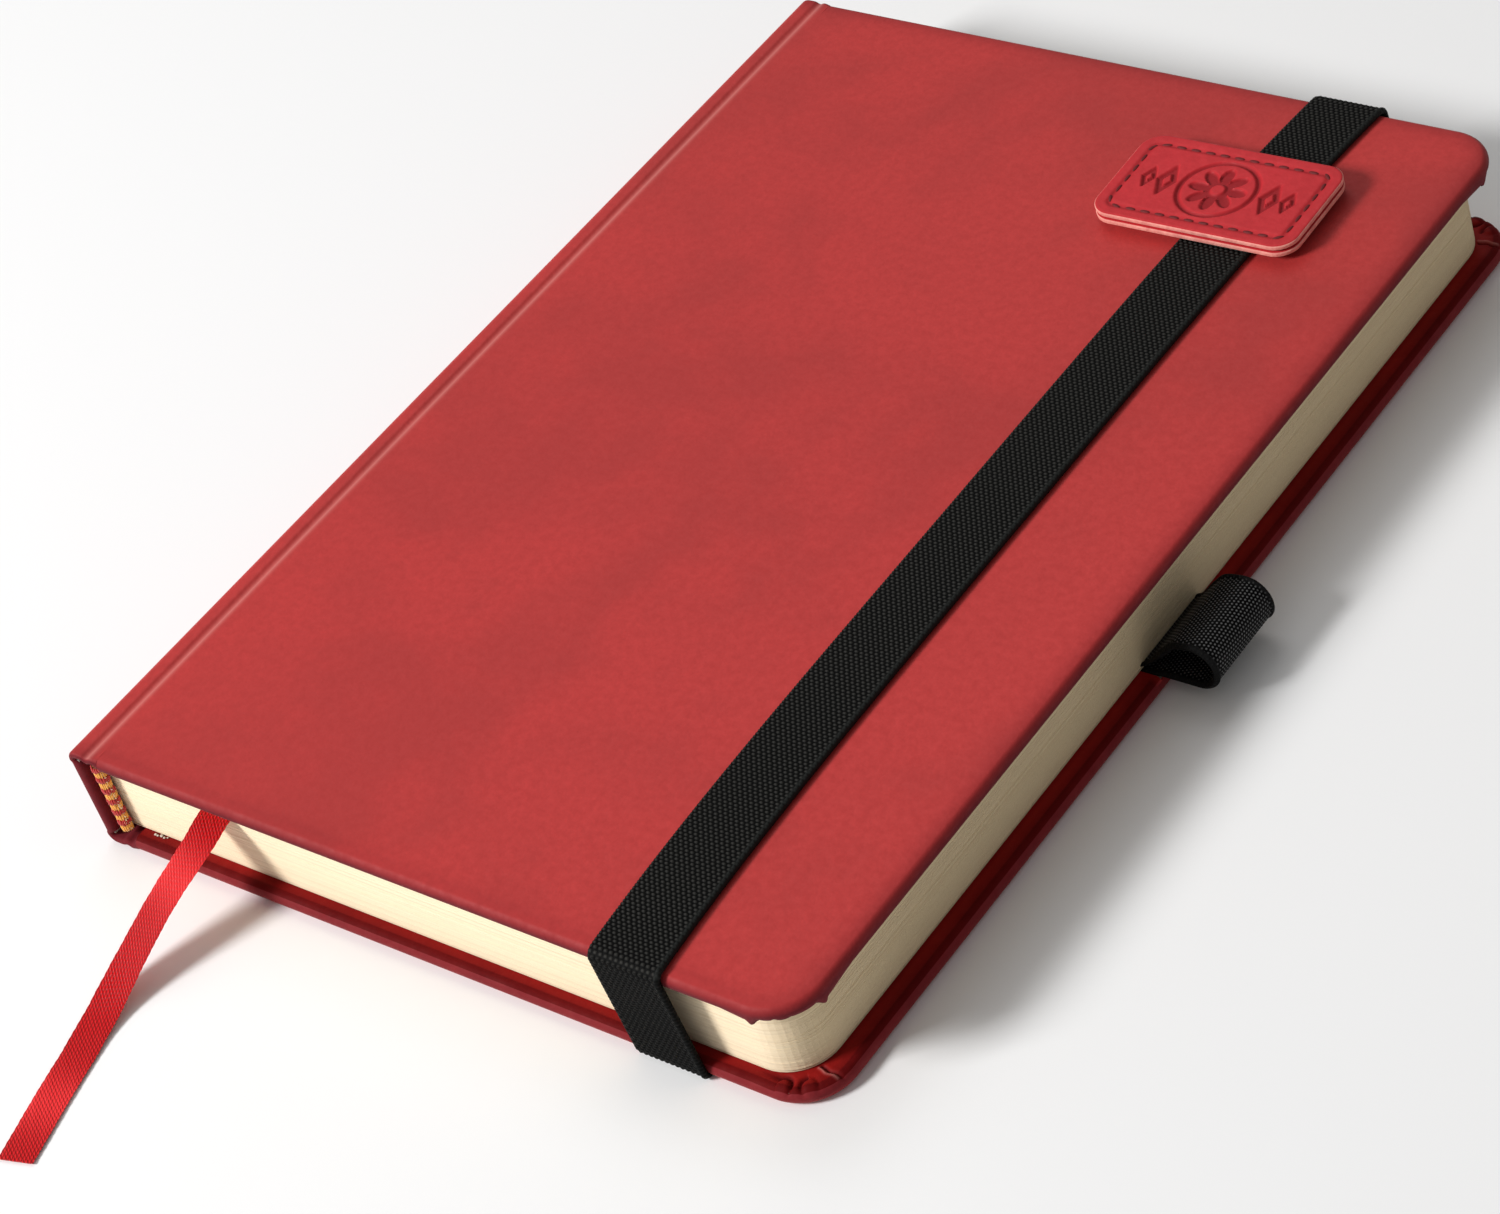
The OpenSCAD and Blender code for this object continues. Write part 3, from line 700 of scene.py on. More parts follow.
def cover_profile():
    """Rows of inset, depth, rim darkness (painted shade), share of the pleats, and inset at the
    spine side.
    """
    rows = [(PROFILE_REACH, 0, 0, 0, 0), (14, 0, 0, 0, 0), (8, 0, 0, 0, 0), (5, 0, 0.02, 0, 0),
            (3.4, 0.01, 0.08, 0, 0), (2.4, 0.03, 0.18, 0, 0)]
    for degrees in range(15, 181, 15):
        a = math.radians(degrees)
        dark = min(1.0, 0.25 + 0.75 * max(0.0, (degrees - 20) / 70))
        rows.append((EDGE_R * (1 - math.sin(a)), min(EDGE_R * (1 - math.cos(a)), SKIN_DEPTH),
                     dark, max(0.0, (degrees - 75) / 105), 0))
    for inset in np.arange(1.7, 6.6, 0.3):
        rows.append((float(inset), SKIN_DEPTH, max(0.12, 0.55 - 0.3 * (inset - 1.7)), 1,
                     min(0.28, 0.05 * inset)))
    rows += [(TURN_IN, SKIN_DEPTH, 0.12, 0, 0.3), (TURN_IN, BOARD_DEPTH, 0, 0, 0.3),
             (1.5, BOARD_DEPTH, 0, 0, 0.3), (0.62, EDGE_R, 0, 0, 0.3),
             (1.5, SKIN_T, 0, 0, 0.3), (PROFILE_REACH, SKIN_T, 0, 0, 0.3)]
    return rows


GATHERS = ((82.0, "whole"), (51.0, "half"))
TEAR_AT, TEAR_LEAN = 17.0, 3.6
NUBS, NUB_DROP = ((139.55, 0.25), (147.75, 8.3)), 2.4


def pleats(x, y, inset, share, nubs):
    """How far a gathered corner swells at a point, its pale tear, and the painted shade in its
    folds.
    """
    tail = y < COVER_L / 2
    cx, cy = COVER_W - CORNER_R, CORNER_R if tail else COVER_L - CORNER_R
    swell = pale = dark = 0.0
    round_corner = math.degrees(math.atan2(cy - y if tail else y - cy, x - cx))
    if share > 0 and inset < 4.5 and -4 < round_corner < 98:
        for degrees, kind in GATHERS:
            s_arc = math.radians(round_corner - degrees) * (CORNER_R - min(inset, 5.0))
            d = math.hypot(s_arc / 1.35, (inset - 1.2) / 1.8)
            edge = math.exp(-((d - 1.0) / 0.24) ** 2)
            if kind == "half" and s_arc < 0:
                edge *= 0.25
            swell += share * (0.30 * max(0.0, 1 - d * d) - 0.42 * edge)
            # Painted shade: the folds round each pleat are painted darker.
            dark = max(dark, share * edge)
        from_tear = round_corner - TEAR_AT - TEAR_LEAN * inset - 0.9 * math.sin(3 * inset)
        s_arc = math.radians(from_tear) * (CORNER_R - min(inset, 5.0))
        tear = math.exp(-(s_arc / 0.22) ** 2) * (0.5 < inset < 4.2)
        fold = math.exp(-((s_arc + 0.55) / 0.32) ** 2) * (inset < 4.2)
        swell += share * (0.18 * tear - 0.35 * fold)
        pale = share * tear * 0.6
        # Painted shade along the fold beside the tear.
        dark = max(dark, share * fold * 0.8)
    if nubs and share > 0 and inset < 2.5:
        for nx, ny in NUBS:
            ny = ny if tail else COVER_L - ny
            swell += NUB_DROP * share * math.exp(-((x - nx) ** 2 + (y - ny) ** 2) / 0.8)
    return swell, pale, dark


def cover_skin(name, outside_up):
    """One cover's leather, from its profile. Its turned-in margin gets the leather in painted
    shade.
    """
    rings, rims, creases = [], [], []
    for inset, depth, dark, share, spine in cover_profile():
        flat = outline(BOARD_X, COVER_W, 0, COVER_L, 0, CORNER_R, inset, spine, side=30, arc=64)
        extra = np.array([pleats(x, y, inset, share, outside_up) for x, y in flat])
        d = depth + extra[:, 0]
        rings.append(ring_at(flat, BOOK_T - d if outside_up else d))
        # Rim darkness and the pleats' dark folds are painted shade, a little less on the back
        # cover.
        rims += np.maximum(dark * (1.0 if outside_up else 0.8), extra[:, 2]).tolist()
        creases += extra[:, 1].tolist()
    verts, faces = loft(rings)
    made = piece(name, verts, faces, [cover_leather, inner_leather_painted_shade],
                 values={"rim": rims, "tear_and_highlight": creases})
    inside_from = len(rings[0]) * ROWS_OUTSIDE
    for polygon in made.data.polygons:
        if len(polygon.vertices) == 4 and min(polygon.vertices) >= inside_from:
            polygon.material_index = 1
    return made


front_skin = cover_skin("front_cover_leather", True)
back_skin = cover_skin("back_cover_leather", False)
print("cover leather", len(front_skin.data.polygons), "faces")


# %% [markdown]
# The elastic lies in a shallow press under the back cover, and the pen loop leaves it through the
# turned-in margin. Both places are cut out of the leather with plain blocks, as a knife would.


# %% Places cut in the back cover's leather
def cut(obj, low, high):
    """Cuts a block out of a piece."""
    x0, y0, z0 = low
    x1, y1, z1 = high
    ring_low = np.array([(x0, y0), (x1, y0), (x1, y1), (x0, y1)], float)
    verts, faces = loft([ring_at(ring_low, z0), ring_at(ring_low, z1)])
    block = piece("block", verts, faces, cover_leather, smooth=False)
    modifier = obj.modifiers.new("cut", "BOOLEAN")
    modifier.operation, modifier.object, modifier.solver = "DIFFERENCE", block, "EXACT"
    graph = bpy.context.evaluated_depsgraph_get()
    mesh = bpy.data.meshes.new_from_object(obj.evaluated_get(graph), depsgraph=graph)
    obj.modifiers.remove(modifier)
    obj.data = mesh
    bpy.data.objects.remove(block)


ANCHOR_X, ANCHOR_REACH, BAND_W = 120.4, 14.3, 13.4
press_half = BAND_W / 2 + 0.05
for y0, y1 in ((-2, ANCHOR_REACH), (COVER_L - ANCHOR_REACH, COVER_L + 2)):
    cut(back_skin, (ANCHOR_X - press_half, y0, -0.5), (ANCHOR_X + press_half, y1, 1.13))
LOOP_Y0, LOOP_W = 94.0, 17.5
cut(back_skin, (143.5, LOOP_Y0 - 0.1, 2.2), (150, LOOP_Y0 + LOOP_W + 0.1, 4))
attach(front_skin, "front_cover")
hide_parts("front_cover_skin")
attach(back_skin, "book_block")
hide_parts("back_cover_skin")
print("back cover leather after cutting", len(back_skin.data.polygons), "faces")

# %% [markdown]
# ## Spine and joints
# The same leather runs on from the covers over the two joints and round the spine. A joint is a
# strip pressed into a groove beside the board, and at the tail and head its edge is folded over,
# so it is thicker there. All three strips are one function: stations along a line, each with a
# direction that points into the book, and a folded profile at both ends.


# %% Folded strips
END_T = 1.3


def folded_profile(edge_t):
    """A strip's section from tail to head: places along the spine, and depths."""
    r = edge_t / 2
    rows = []
    for degrees in range(0, 181, 20):
        a = math.radians(degrees)
        rows.append((r * (1 - math.sin(a)), r * (1 - math.cos(a))))
    rows += [(4.0, edge_t), (TURN_IN, edge_t), (TURN_IN, SKIN_T)]
    head = [(COVER_L - y, d) for y, d in rows[::-1]]
    outside = [(COVER_L - y, 0.0) for y in (4.0, 14.0, 60.0, 105.0, 150.0, 196.0, 206.0)]
    return rows + head + outside


def folded_strip(name, stations, materials, highlight_x=None):
    """A leather strip through stations of (x, z, inward x, inward z, thickness at the ends)."""
    rings, rims, groove_highlight = [], [], []
    for x, z, nx, nz, edge_t in stations:
        profile = folded_profile(edge_t)
        rings.append(np.array([(x + nx * d, y, z + nz * d) for y, d in profile]))
        # Painted shade: darker near the tail and head, and where the leather is folded under.
        rims += [min(1.0, max(0.0, 1 - min(y, COVER_L - y) / 1.3) * 0.8 + (d > 0.3) * 0.9)
                 for y, d in profile]
        # Painted highlight: a pale streak along the front joint's groove, where it turns to the
        # light.
        painted_light = 0.0 if highlight_x is None else 0.62 * math.exp(-((x - highlight_x) / 0.72) ** 2)
        groove_highlight += [painted_light * (d < 0.05) for _, d in profile]
    verts, faces = loft(rings)
    made = piece(name, verts, faces, materials, values={"rim": rims, "tear_and_highlight": groove_highlight}, sharp=55)
    return made


# The groove's place, width and depth, and where the painted highlight runs beside it.
GROOVE_X, GROOVE_W, GROOVE_DEPTH, GROOVE_HIGHLIGHT_X = 4.4, 0.75, 0.42, 4.95


def groove(x):
    """Depth of the pressed joint."""
    return GROOVE_DEPTH * math.exp(-((x - GROOVE_X) / GROOVE_W) ** 2)


joint_x = np.linspace(JOINT_X, BOARD_X, 25)
joint_ends = [END_T + 1.45 * max(0.0, (x - 5.4) / 1.6) ** 1.5 for x in joint_x]
taper = [min(1.0, (x - JOINT_X) / 0.8, (BOARD_X - x) / 0.8) for x in joint_x]
front_joint = folded_strip("front_joint_leather", [
    (x, BOOK_T - groove(x) * k, 0, -1, t) for x, t, k in zip(joint_x, joint_ends, taper)],
    cover_leather, GROOVE_HIGHLIGHT_X)
back_joint = folded_strip("back_joint_leather", [
    (x, groove(x) * k, 0, 1, t) for x, t, k in zip(joint_x, joint_ends, taper)],
    cover_leather)
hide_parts("front_joint_skin")
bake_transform(front_joint)
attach(back_joint, "book_block")
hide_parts("back_joint_skin")

# %% Spine leather
SPINE_R, SPINE_END_T = 2.0, 2.2


def round_the_edge(z, first):
    """Stations round one edge of the spine, a quarter turn from the first angle."""
    turns = [math.radians(first + a) for a in range(0, 91, 10)]
    return [(SPINE_R + SPINE_R * math.cos(a), z + SPINE_R * math.sin(a),
             -math.cos(a), -math.sin(a), END_T) for a in turns]


spine_stations = [(x, BOOK_T, 0, -1, END_T) for x in (JOINT_X, 2.5)]
spine_stations += round_the_edge(BOOK_T - SPINE_R, 90)
spine_stations += [(0.0, z, 1, 0, SPINE_END_T)
                   for z in np.linspace(BOOK_T - SPINE_R - 0.5, SPINE_R + 0.5, 15)]
spine_stations += round_the_edge(SPINE_R, 180)
spine_stations += [(x, 0, 0, 1, END_T) for x in (2.5, JOINT_X)]
spine = folded_strip("spine_leather", spine_stations, cover_leather)
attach(spine, "book_block")
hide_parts("spine_skin")
print("spine", len(spine.data.polygons), "faces")

# %% [markdown]
# ## Boards, endpapers, lining and sewing
# These solids have the right shape already, so they only get a finish. The endpaper's fold and the
# leaves that turn are each a sheet of their own, cut in narrow strips near the spine.

# %% Finishes for solids that stay
for name, finish in (("back_board", board_grey), ("front_board", board_grey),
                     ("spine_board", board_grey), ("back_pastedown", end_paper),
                     ("front_pastedown", end_paper), ("back_flyleaf", end_paper),
                     ("spine_lining", lining_cloth), ("sewing_thread", white_thread),
                     ("ribbon_in_pages", ribbon_satin)):
    mesh = nodes[name].data
    mesh.materials.clear()
    mesh.materials.append(finish)
    print(name, "has", finish.name)


# %% Leaves that turn, and the endpaper's fold
BEND_REACH, LEAF_X, LEAF_BEND_END = 14.0, 3.8, 10.5


def thin_sheet(name, low, high, radius, material):
    """A flat sheet in narrow strips along X near the spine."""
    (x_from, y0, z0), (x_to, y1, z1) = low, high
    xs = list(np.arange(x_from, min(BEND_REACH, x_to), 0.4))
    if x_to > BEND_REACH:
        xs += list(np.linspace(BEND_REACH, x_to - radius, 12))
        xs += [x_to - radius + radius * math.sin(math.radians(a)) for a in range(6, 91, 6)]
    else:
        xs.append(x_to)
    rings = []
    for x in xs:
        dip = radius - math.sqrt(max(radius ** 2 - max(0.0, x - (x_to - radius)) ** 2, 0.0))
        dip = min(dip, radius - 0.05)
        rings.append(np.array([(x, y0 + dip, z0), (x, y1 - dip, z0),
                               (x, y1 - dip, z1), (x, y0 + dip, z1)]))
    verts, faces = loft(rings)
    return piece(name, verts, faces, material, sharp=30)


low, high = box_mm("front_endpaper_fold")
fold = thin_sheet("endpaper_fold", low, (BOARD_X + 0.1, high[1], high[2]), 0.0, end_paper)
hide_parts("front_endpaper_fold")
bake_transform(fold)
LEAVES = ["front_flyleaf", "leaf_1", "leaf_2", "leaf_3", "leaf_4", "leaf_5"]
for number, name in enumerate(LEAVES):
    low, high = box_mm(name)
    nudge = 0.05 * math.sin(number * 2.4)
    sheet = thin_sheet(name + "_paper", (LEAF_X, *low[1:]), (high[0] + nudge, *high[1:]), PAGE_R,
                       end_paper if number == 0 else page_paper)
    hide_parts(name, *(["leaf_guards"] if number == 0 else []))
    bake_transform(sheet)
print("turning leaves", LEAVES)

# %% [markdown]
# ## Sections of pages
# A section is a stack of folded leaves. What is seen of it are the leaves' cut edges, a little
# uneven, and the rounded fold at the spine. This is a shape that repeats by a rule, so one
# geometry tree stacks one leaf: it shortens each leaf towards the section's top and bottom so that
# the fold comes out round, and shifts each by a small chance amount with a fixed seed. The lowest
# section lacks two leaves, which leaves the dark gap that is seen above the back flyleaf.

# %% Tree that stacks leaves
stack, stack_in, stack_out = new_tree("Leaf stack", "GeometryNodeTree", [
    ("Leaf", "NodeSocketGeometry", None), ("Count", "NodeSocketInt", 13),
    ("Pitch", "NodeSocketFloat", 0.00013), ("Fold radius", "NodeSocketFloat", 0.0008),
    ("Leaf width", "NodeSocketFloat", 0.14), ("Unevenness", "NodeSocketFloat", 0.00005),
    ("Seed", "NodeSocketInt", 1), ("Place", "NodeSocketVector", None),
    ("Paper", "NodeSocketMaterial", None)], [("Pages", "NodeSocketGeometry")])
step = add(stack, "ShaderNodeCombineXYZ", {2: stack_in.outputs["Pitch"]})
column = add(stack, "GeometryNodeMeshLine", {"Count": stack_in.outputs["Count"],
                                             "Offset": step.outputs[0]})
index = add(stack, "GeometryNodeInputIndex").outputs[0]
share = maths(stack, "DIVIDE", maths(stack, "ADD", index, 0.5), stack_in.outputs["Count"])
off = maths(stack, "SUBTRACT", maths(stack, "MULTIPLY", share, 2.0), 1.0)
chord = maths(stack, "SQRT", maths(stack, "SUBTRACT", 1.0, maths(stack, "MULTIPLY", off, off)))
sagitta = maths(stack, "SUBTRACT", 1.0, chord)
short = maths(stack, "MULTIPLY", sagitta, stack_in.outputs["Fold radius"])
shorter = maths(stack, "DIVIDE", short, stack_in.outputs["Leaf width"])
scale_x = maths(stack, "SUBTRACT", 1.0, shorter)
scaled = add(stack, "ShaderNodeCombineXYZ", {0: scale_x, 1: 1.0, 2: 1.0})
laid = add(stack, "GeometryNodeInstanceOnPoints", {
    "Points": column.outputs[0], "Instance": stack_in.outputs["Leaf"], "Scale": scaled.outputs[0]})
reach = add(stack, "ShaderNodeCombineXYZ", {0: stack_in.outputs["Unevenness"],
                                            1: stack_in.outputs["Unevenness"]})
less = add(stack, "ShaderNodeVectorMath", {0: reach.outputs[0], 1: (-1, -1, -1)},
           operation="MULTIPLY")
chance = add(stack, "FunctionNodeRandomValue", data_type="FLOAT_VECTOR")
stack.links.new(less.outputs[0], chance.inputs[0])
stack.links.new(reach.outputs[0], chance.inputs[1])
stack.links.new(stack_in.outputs["Seed"], chance.inputs["Seed"])
moved = add(stack, "GeometryNodeTranslateInstances", {"Instances": laid.outputs[0],
                                                      "Translation": chance.outputs[0]})
real = add(stack, "GeometryNodeRealizeInstances", {0: moved.outputs[0]})
placed = add(stack, "GeometryNodeTransform", {"Geometry": real.outputs[0],
                                              "Translation": stack_in.outputs["Place"]})
finished = add(stack, "GeometryNodeSetMaterial", {"Geometry": placed.outputs[0],
                                                  "Material": stack_in.outputs["Paper"]})
stack.links.new(finished.outputs[0], stack_out.inputs[0])
print(stack.name, "of", len(stack.nodes), "nodes")

# %% Stack the sections
LEAVES_IN_SECTION, LEAF_SHARE, MISSING_LEAVES = 13, 0.9, 2
for number in range(1, 9):
    name = f"signature_{number}"
    low, high = box_mm(name)
    pitch = (high[2] - low[2]) / LEAVES_IN_SECTION
    flat = outline(low[0] - PAGE_X, 0, -COVER_L / 2 + PAGE_Y0, COVER_L / 2 - PAGE_Y0, 0, PAGE_R,
                   side=4, arc=12)
    verts, faces = loft([ring_at(flat, 0.0), ring_at(flat, pitch * LEAF_SHARE)])
    section = piece(name + "_leaves", verts, faces, page_paper, smooth=False)
    section.data.transform(Matrix.Translation((-CORNER.x, -CORNER.y, 0)))
    lean = 0.03 * math.sin(number * 1.9)
    missing = MISSING_LEAVES if number == 1 else 0
    grow(section, stack, {
        "Count": LEAVES_IN_SECTION - missing, "Pitch": pitch * MM,
        "Fold radius": pitch * LEAVES_IN_SECTION / 2 * MM,
        "Leaf width": (PAGE_X - low[0]) * MM, "Unevenness": 0.03 * MM, "Seed": number,
        "Place": metres([(PAGE_X + lean, COVER_L / 2, low[2] + missing * pitch)])[0].tolist(),
        "Paper": page_paper})
    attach(section, "book_block")
    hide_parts(name)
print("sections of", LEAVES_IN_SECTION, "leaves,", len(section.data.polygons), "faces each")

# %% [markdown]
# ## Headbands
# At both ends of the spine a cloth roll is worked over with bands of gold and red thread. The
# strands repeat round the roll and along it, so one tree lays them in rows and columns on a
# cylinder, and is run once for each colour. A second tree adds the fringe of loose fibres that
# stands up beside the pages.

# %% Tree that lays strands on a roll
strands, strands_in, strands_out = new_tree("Headband strands", "GeometryNodeTree", [
    ("Rows", "NodeSocketInt", 6), ("Columns", "NodeSocketInt", 9),
    ("Row pitch", "NodeSocketFloat", 0.0024), ("First row", "NodeSocketFloat", 0.0),
    ("Roll radius", "NodeSocketFloat", 0.0011), ("Middle angle", "NodeSocketFloat", -1.57),
    ("Wrap", "NodeSocketFloat", 4.2), ("Strand length", "NodeSocketFloat", 0.0015),
    ("Strand width", "NodeSocketFloat", 0.0004), ("Seed", "NodeSocketInt", 1),
    ("Place", "NodeSocketVector", None), ("Thread", "NodeSocketMaterial", None)],
    [("Strands", "NodeSocketGeometry")])
total = maths(strands, "MULTIPLY", strands_in.outputs["Rows"], strands_in.outputs["Columns"])
dots = add(strands, "GeometryNodePoints", {"Count": total})
index = add(strands, "GeometryNodeInputIndex").outputs[0]
columns = strands_in.outputs["Columns"]
row = maths(strands, "FLOOR", maths(strands, "DIVIDE", index, columns))
column = maths(strands, "SUBTRACT", index, maths(strands, "MULTIPLY", row, columns))
share = maths(strands, "DIVIDE", maths(strands, "ADD", column, 0.5), columns)
portion = maths(strands, "SUBTRACT", share, 0.5)
angle = maths(strands, "ADD", maths(strands, "MULTIPLY", portion, strands_in.outputs["Wrap"]),
              strands_in.outputs["Middle angle"])
jig = add(strands, "FunctionNodeRandomValue", data_type="FLOAT")
jig.inputs[2].default_value, jig.inputs[3].default_value = -0.00014, 0.00014
strands.links.new(strands_in.outputs["Seed"], jig.inputs["Seed"])
level = maths(strands, "MULTIPLY_ADD", row, strands_in.outputs["Row pitch"],
              strands_in.outputs["First row"])
radius = strands_in.outputs["Roll radius"]
spot = add(strands, "ShaderNodeCombineXYZ", {
    0: maths(strands, "MULTIPLY", maths(strands, "COSINE", angle), radius),
    1: maths(strands, "MULTIPLY", maths(strands, "SINE", angle), radius),
    2: maths(strands, "ADD", level, jig.outputs[1])})
set_spot = add(strands, "GeometryNodeSetPosition", {"Geometry": dots.outputs[0],
                                                    "Position": spot.outputs[0]})
bead = add(strands, "GeometryNodeMeshIcoSphere", {"Radius": 0.5, "Subdivisions": 2})
fat = add(strands, "FunctionNodeRandomValue", data_type="FLOAT")
fat.inputs[2].default_value, fat.inputs[3].default_value = 0.85, 1.15
strands.links.new(strands_in.outputs["Seed"], fat.inputs["Seed"])
width = maths(strands, "MULTIPLY", strands_in.outputs["Strand width"], fat.outputs[1])
size = add(strands, "ShaderNodeCombineXYZ", {0: width, 1: width,
                                             2: strands_in.outputs["Strand length"]})
tilt = add(strands, "FunctionNodeRandomValue", data_type="FLOAT_VECTOR")
tilt.inputs[0].default_value, tilt.inputs[1].default_value = (-0.12, -0.12, 0), (0.12, 0.12, 0)
strands.links.new(strands_in.outputs["Seed"], tilt.inputs["Seed"])
laid = add(strands, "GeometryNodeInstanceOnPoints", {
    "Points": set_spot.outputs[0], "Instance": bead.outputs[0], "Scale": size.outputs[0],
    "Rotation": tilt.outputs[0]})
real = add(strands, "GeometryNodeRealizeInstances", {0: laid.outputs[0]})
soft = add(strands, "GeometryNodeSetShadeSmooth", {0: real.outputs[0]})
placed = add(strands, "GeometryNodeTransform", {"Geometry": soft.outputs[0],
                                                "Translation": strands_in.outputs["Place"]})
finished = add(strands, "GeometryNodeSetMaterial", {"Geometry": placed.outputs[0],
                                                    "Material": strands_in.outputs["Thread"]})
strands.links.new(finished.outputs[0], strands_out.inputs[0])
print(strands.name, "of", len(strands.nodes), "nodes")

# %% Tree that stands loose fibres along a line
fringe, fringe_in, fringe_out = new_tree("Loose fibres", "GeometryNodeTree", [
    ("Count", "NodeSocketInt", 90), ("Height", "NodeSocketFloat", 0.0145),
    ("Fibre length", "NodeSocketFloat", 0.0007), ("Seed", "NodeSocketInt", 3),
    ("Place", "NodeSocketVector", None), ("Thread", "NodeSocketMaterial", None)],
    [("Fibres", "NodeSocketGeometry")])
each = maths(fringe, "DIVIDE", fringe_in.outputs["Height"], fringe_in.outputs["Count"])
line = add(fringe, "GeometryNodeMeshLine", {
    "Count": fringe_in.outputs["Count"],
    "Offset": add(fringe, "ShaderNodeCombineXYZ", {2: each}).outputs[0]})
spike = add(fringe, "GeometryNodeMeshCone", {"Vertices": 4, "Radius Bottom": 0.00006,
                                             "Radius Top": 0.00002,
                                             "Depth": fringe_in.outputs["Fibre length"]})
lean = add(fringe, "FunctionNodeRandomValue", data_type="FLOAT_VECTOR")
lean.inputs[0].default_value, lean.inputs[1].default_value = (-0.9, 0.9, -3.1), (0.9, 2.2, 3.1)
fringe.links.new(fringe_in.outputs["Seed"], lean.inputs["Seed"])
laid = add(fringe, "GeometryNodeInstanceOnPoints", {
    "Points": line.outputs[0], "Instance": spike.outputs[0], "Rotation": lean.outputs[0]})
real = add(fringe, "GeometryNodeRealizeInstances", {0: laid.outputs[0]})
placed = add(fringe, "GeometryNodeTransform", {"Geometry": real.outputs[0],
                                               "Translation": fringe_in.outputs["Place"]})
finished = add(fringe, "GeometryNodeSetMaterial", {"Geometry": placed.outputs[0],
                                                   "Material": fringe_in.outputs["Thread"]})
fringe.links.new(finished.outputs[0], fringe_out.inputs[0])
print(fringe.name, "of", len(fringe.nodes), "nodes")


# %% Headbands at tail and head
def empty_piece(name):
    """An object with an empty mesh, for a tree that needs no input."""
    made = bpy.data.objects.new(name, bpy.data.meshes.new(name))
    bpy.context.scene.collection.objects.link(made)
    return made


ROLL_X, ROLL_R, ROLL_INSET, BANDS = 4.35, 0.9, 1.25, 6
# Each thread: its finish, first row and strand length as shares of the pitch, strand width, how far
# it stands proud of the roll, and seed.
THREADS = (("gold", gold_thread, 0.32, 0.80, 0.34, 0.02, 5),
           ("red", red_thread, 0.82, 0.58, 0.42, 0.10, 8))
for end, sign in (("tail", -1), ("head", 1)):
    low, high = box_mm("headband_" + end)
    x, y = ROLL_X, (low[1] + ROLL_INSET if end == "tail" else high[1] - ROLL_INSET)
    turns = np.radians(np.arange(0, 360, 20))
    wheel = np.column_stack([x + ROLL_R * np.cos(turns), y + ROLL_R * np.sin(turns)])
    verts, faces = loft([ring_at(wheel, low[2] + 0.02), ring_at(wheel, high[2] - 0.02)])
    core = piece(f"headband_{end}_roll", verts, faces, core_thread)
    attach(core, "book_block")
    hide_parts("headband_" + end)
    pitch = (high[2] - low[2] - 0.1) / BANDS
    for colour, finish, first, length, width, proud, seed in THREADS:
        band = empty_piece(f"headband_{end}_{colour}")
        grow(band, strands, {
            "Rows": BANDS, "Columns": 12, "Row pitch": pitch * MM,
            "First row": (low[2] + pitch * first) * MM, "Roll radius": (ROLL_R + proud) * MM,
            "Middle angle": sign * math.pi / 2, "Wrap": 4.6,
            "Strand length": pitch * length * MM, "Strand width": width * MM, "Seed": seed,
            "Place": metres([(x, y, 0)])[0].tolist(), "Thread": finish})
        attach(band, "book_block")
    loose = empty_piece(f"headband_{end}_fringe")
    grow(loose, fringe, {"Count": 70, "Height": (high[2] - low[2] - 0.4) * MM,
                         "Fibre length": 0.6 * MM, "Seed": 3,
                         "Place": metres([(x + 0.92, y + 0.35 * sign, low[2] + 0.2)])[0].tolist(),
                         "Thread": pale_thread})
    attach(loose, "book_block")
print("headband strands", len(band.data.polygons), "faces of the red ones")

# %% [markdown]
# ## The elastic closure
# One woven band comes up through the back cover's slit, round the tail edge, over the front cover
# and back down at the head. Its knots are big enough to show against the light, so they are real
# relief: the band is a fine strip whose points are raised in swaying columns. Where the band is
# drawn tight down the edges, its finish is painted darker, as painted shade. One selvedge is
# scalloped by the knots, and the other is a smooth piping.


# %% Route of the elastic
BAND_T, BAND_X, BAND_FLARE = 1.1, 115.4, 2.6
SLIT_Y, BEND_R, LOW_BEND_Z = 13.5, 1.0, 1.55
TOP_BEND_Z, TOP_BEND_R, LEG_TOP_Z = 20.2, 1.45, 20.9
STEP = 0.22


def elastic_route():
    """Half of the band's middle line from the slit up to the cover's middle: y, z, outward y, z."""
    rows = [(SLIT_Y, 2.0, 1, 0)]
    for r in np.radians(range(0, 91, 15)):
        rows.append((SLIT_Y - BEND_R * (1 - math.cos(r)), LOW_BEND_Z - BEND_R * math.sin(r),
                     math.cos(r), -math.sin(r)))
    rows += [(y, LOW_BEND_Z - BEND_R, 0, -1) for y in np.arange(12.0, 0.5, -0.5)]
    for r in np.radians(range(0, 91, 15)):
        rows.append((0.35 - BEND_R * math.sin(r), LOW_BEND_Z - BEND_R * math.cos(r),
                     -math.sin(r), -math.cos(r)))
    rows += [(-0.65, z, -1, 0) for z in np.arange(1.8, 20.0, STEP)]
    for r in np.radians(range(0, 91, 9)):
        rows.append((0.8 - TOP_BEND_R * math.cos(r), TOP_BEND_Z + TOP_BEND_R * math.sin(r),
                     -math.cos(r), math.sin(r)))
    rows += [(y, TOP_BEND_Z + TOP_BEND_R, 0, 1) for y in np.arange(1.0, COVER_L / 2 - 0.05, STEP)]
    return rows


def elastic_middle(y, z):
    """Where the band's middle lies across the cover."""
    t = min(max(y / COVER_L, 0.0), 1.0)
    if z >= TOP_BEND_Z:
        return BAND_X + BAND_FLARE * (2 * t - 1) ** 4
    up = max(0.0, (z - 1.6) / (TOP_BEND_Z - 1.6))
    return ANCHOR_X + (BAND_X + BAND_FLARE - ANCHOR_X) * up


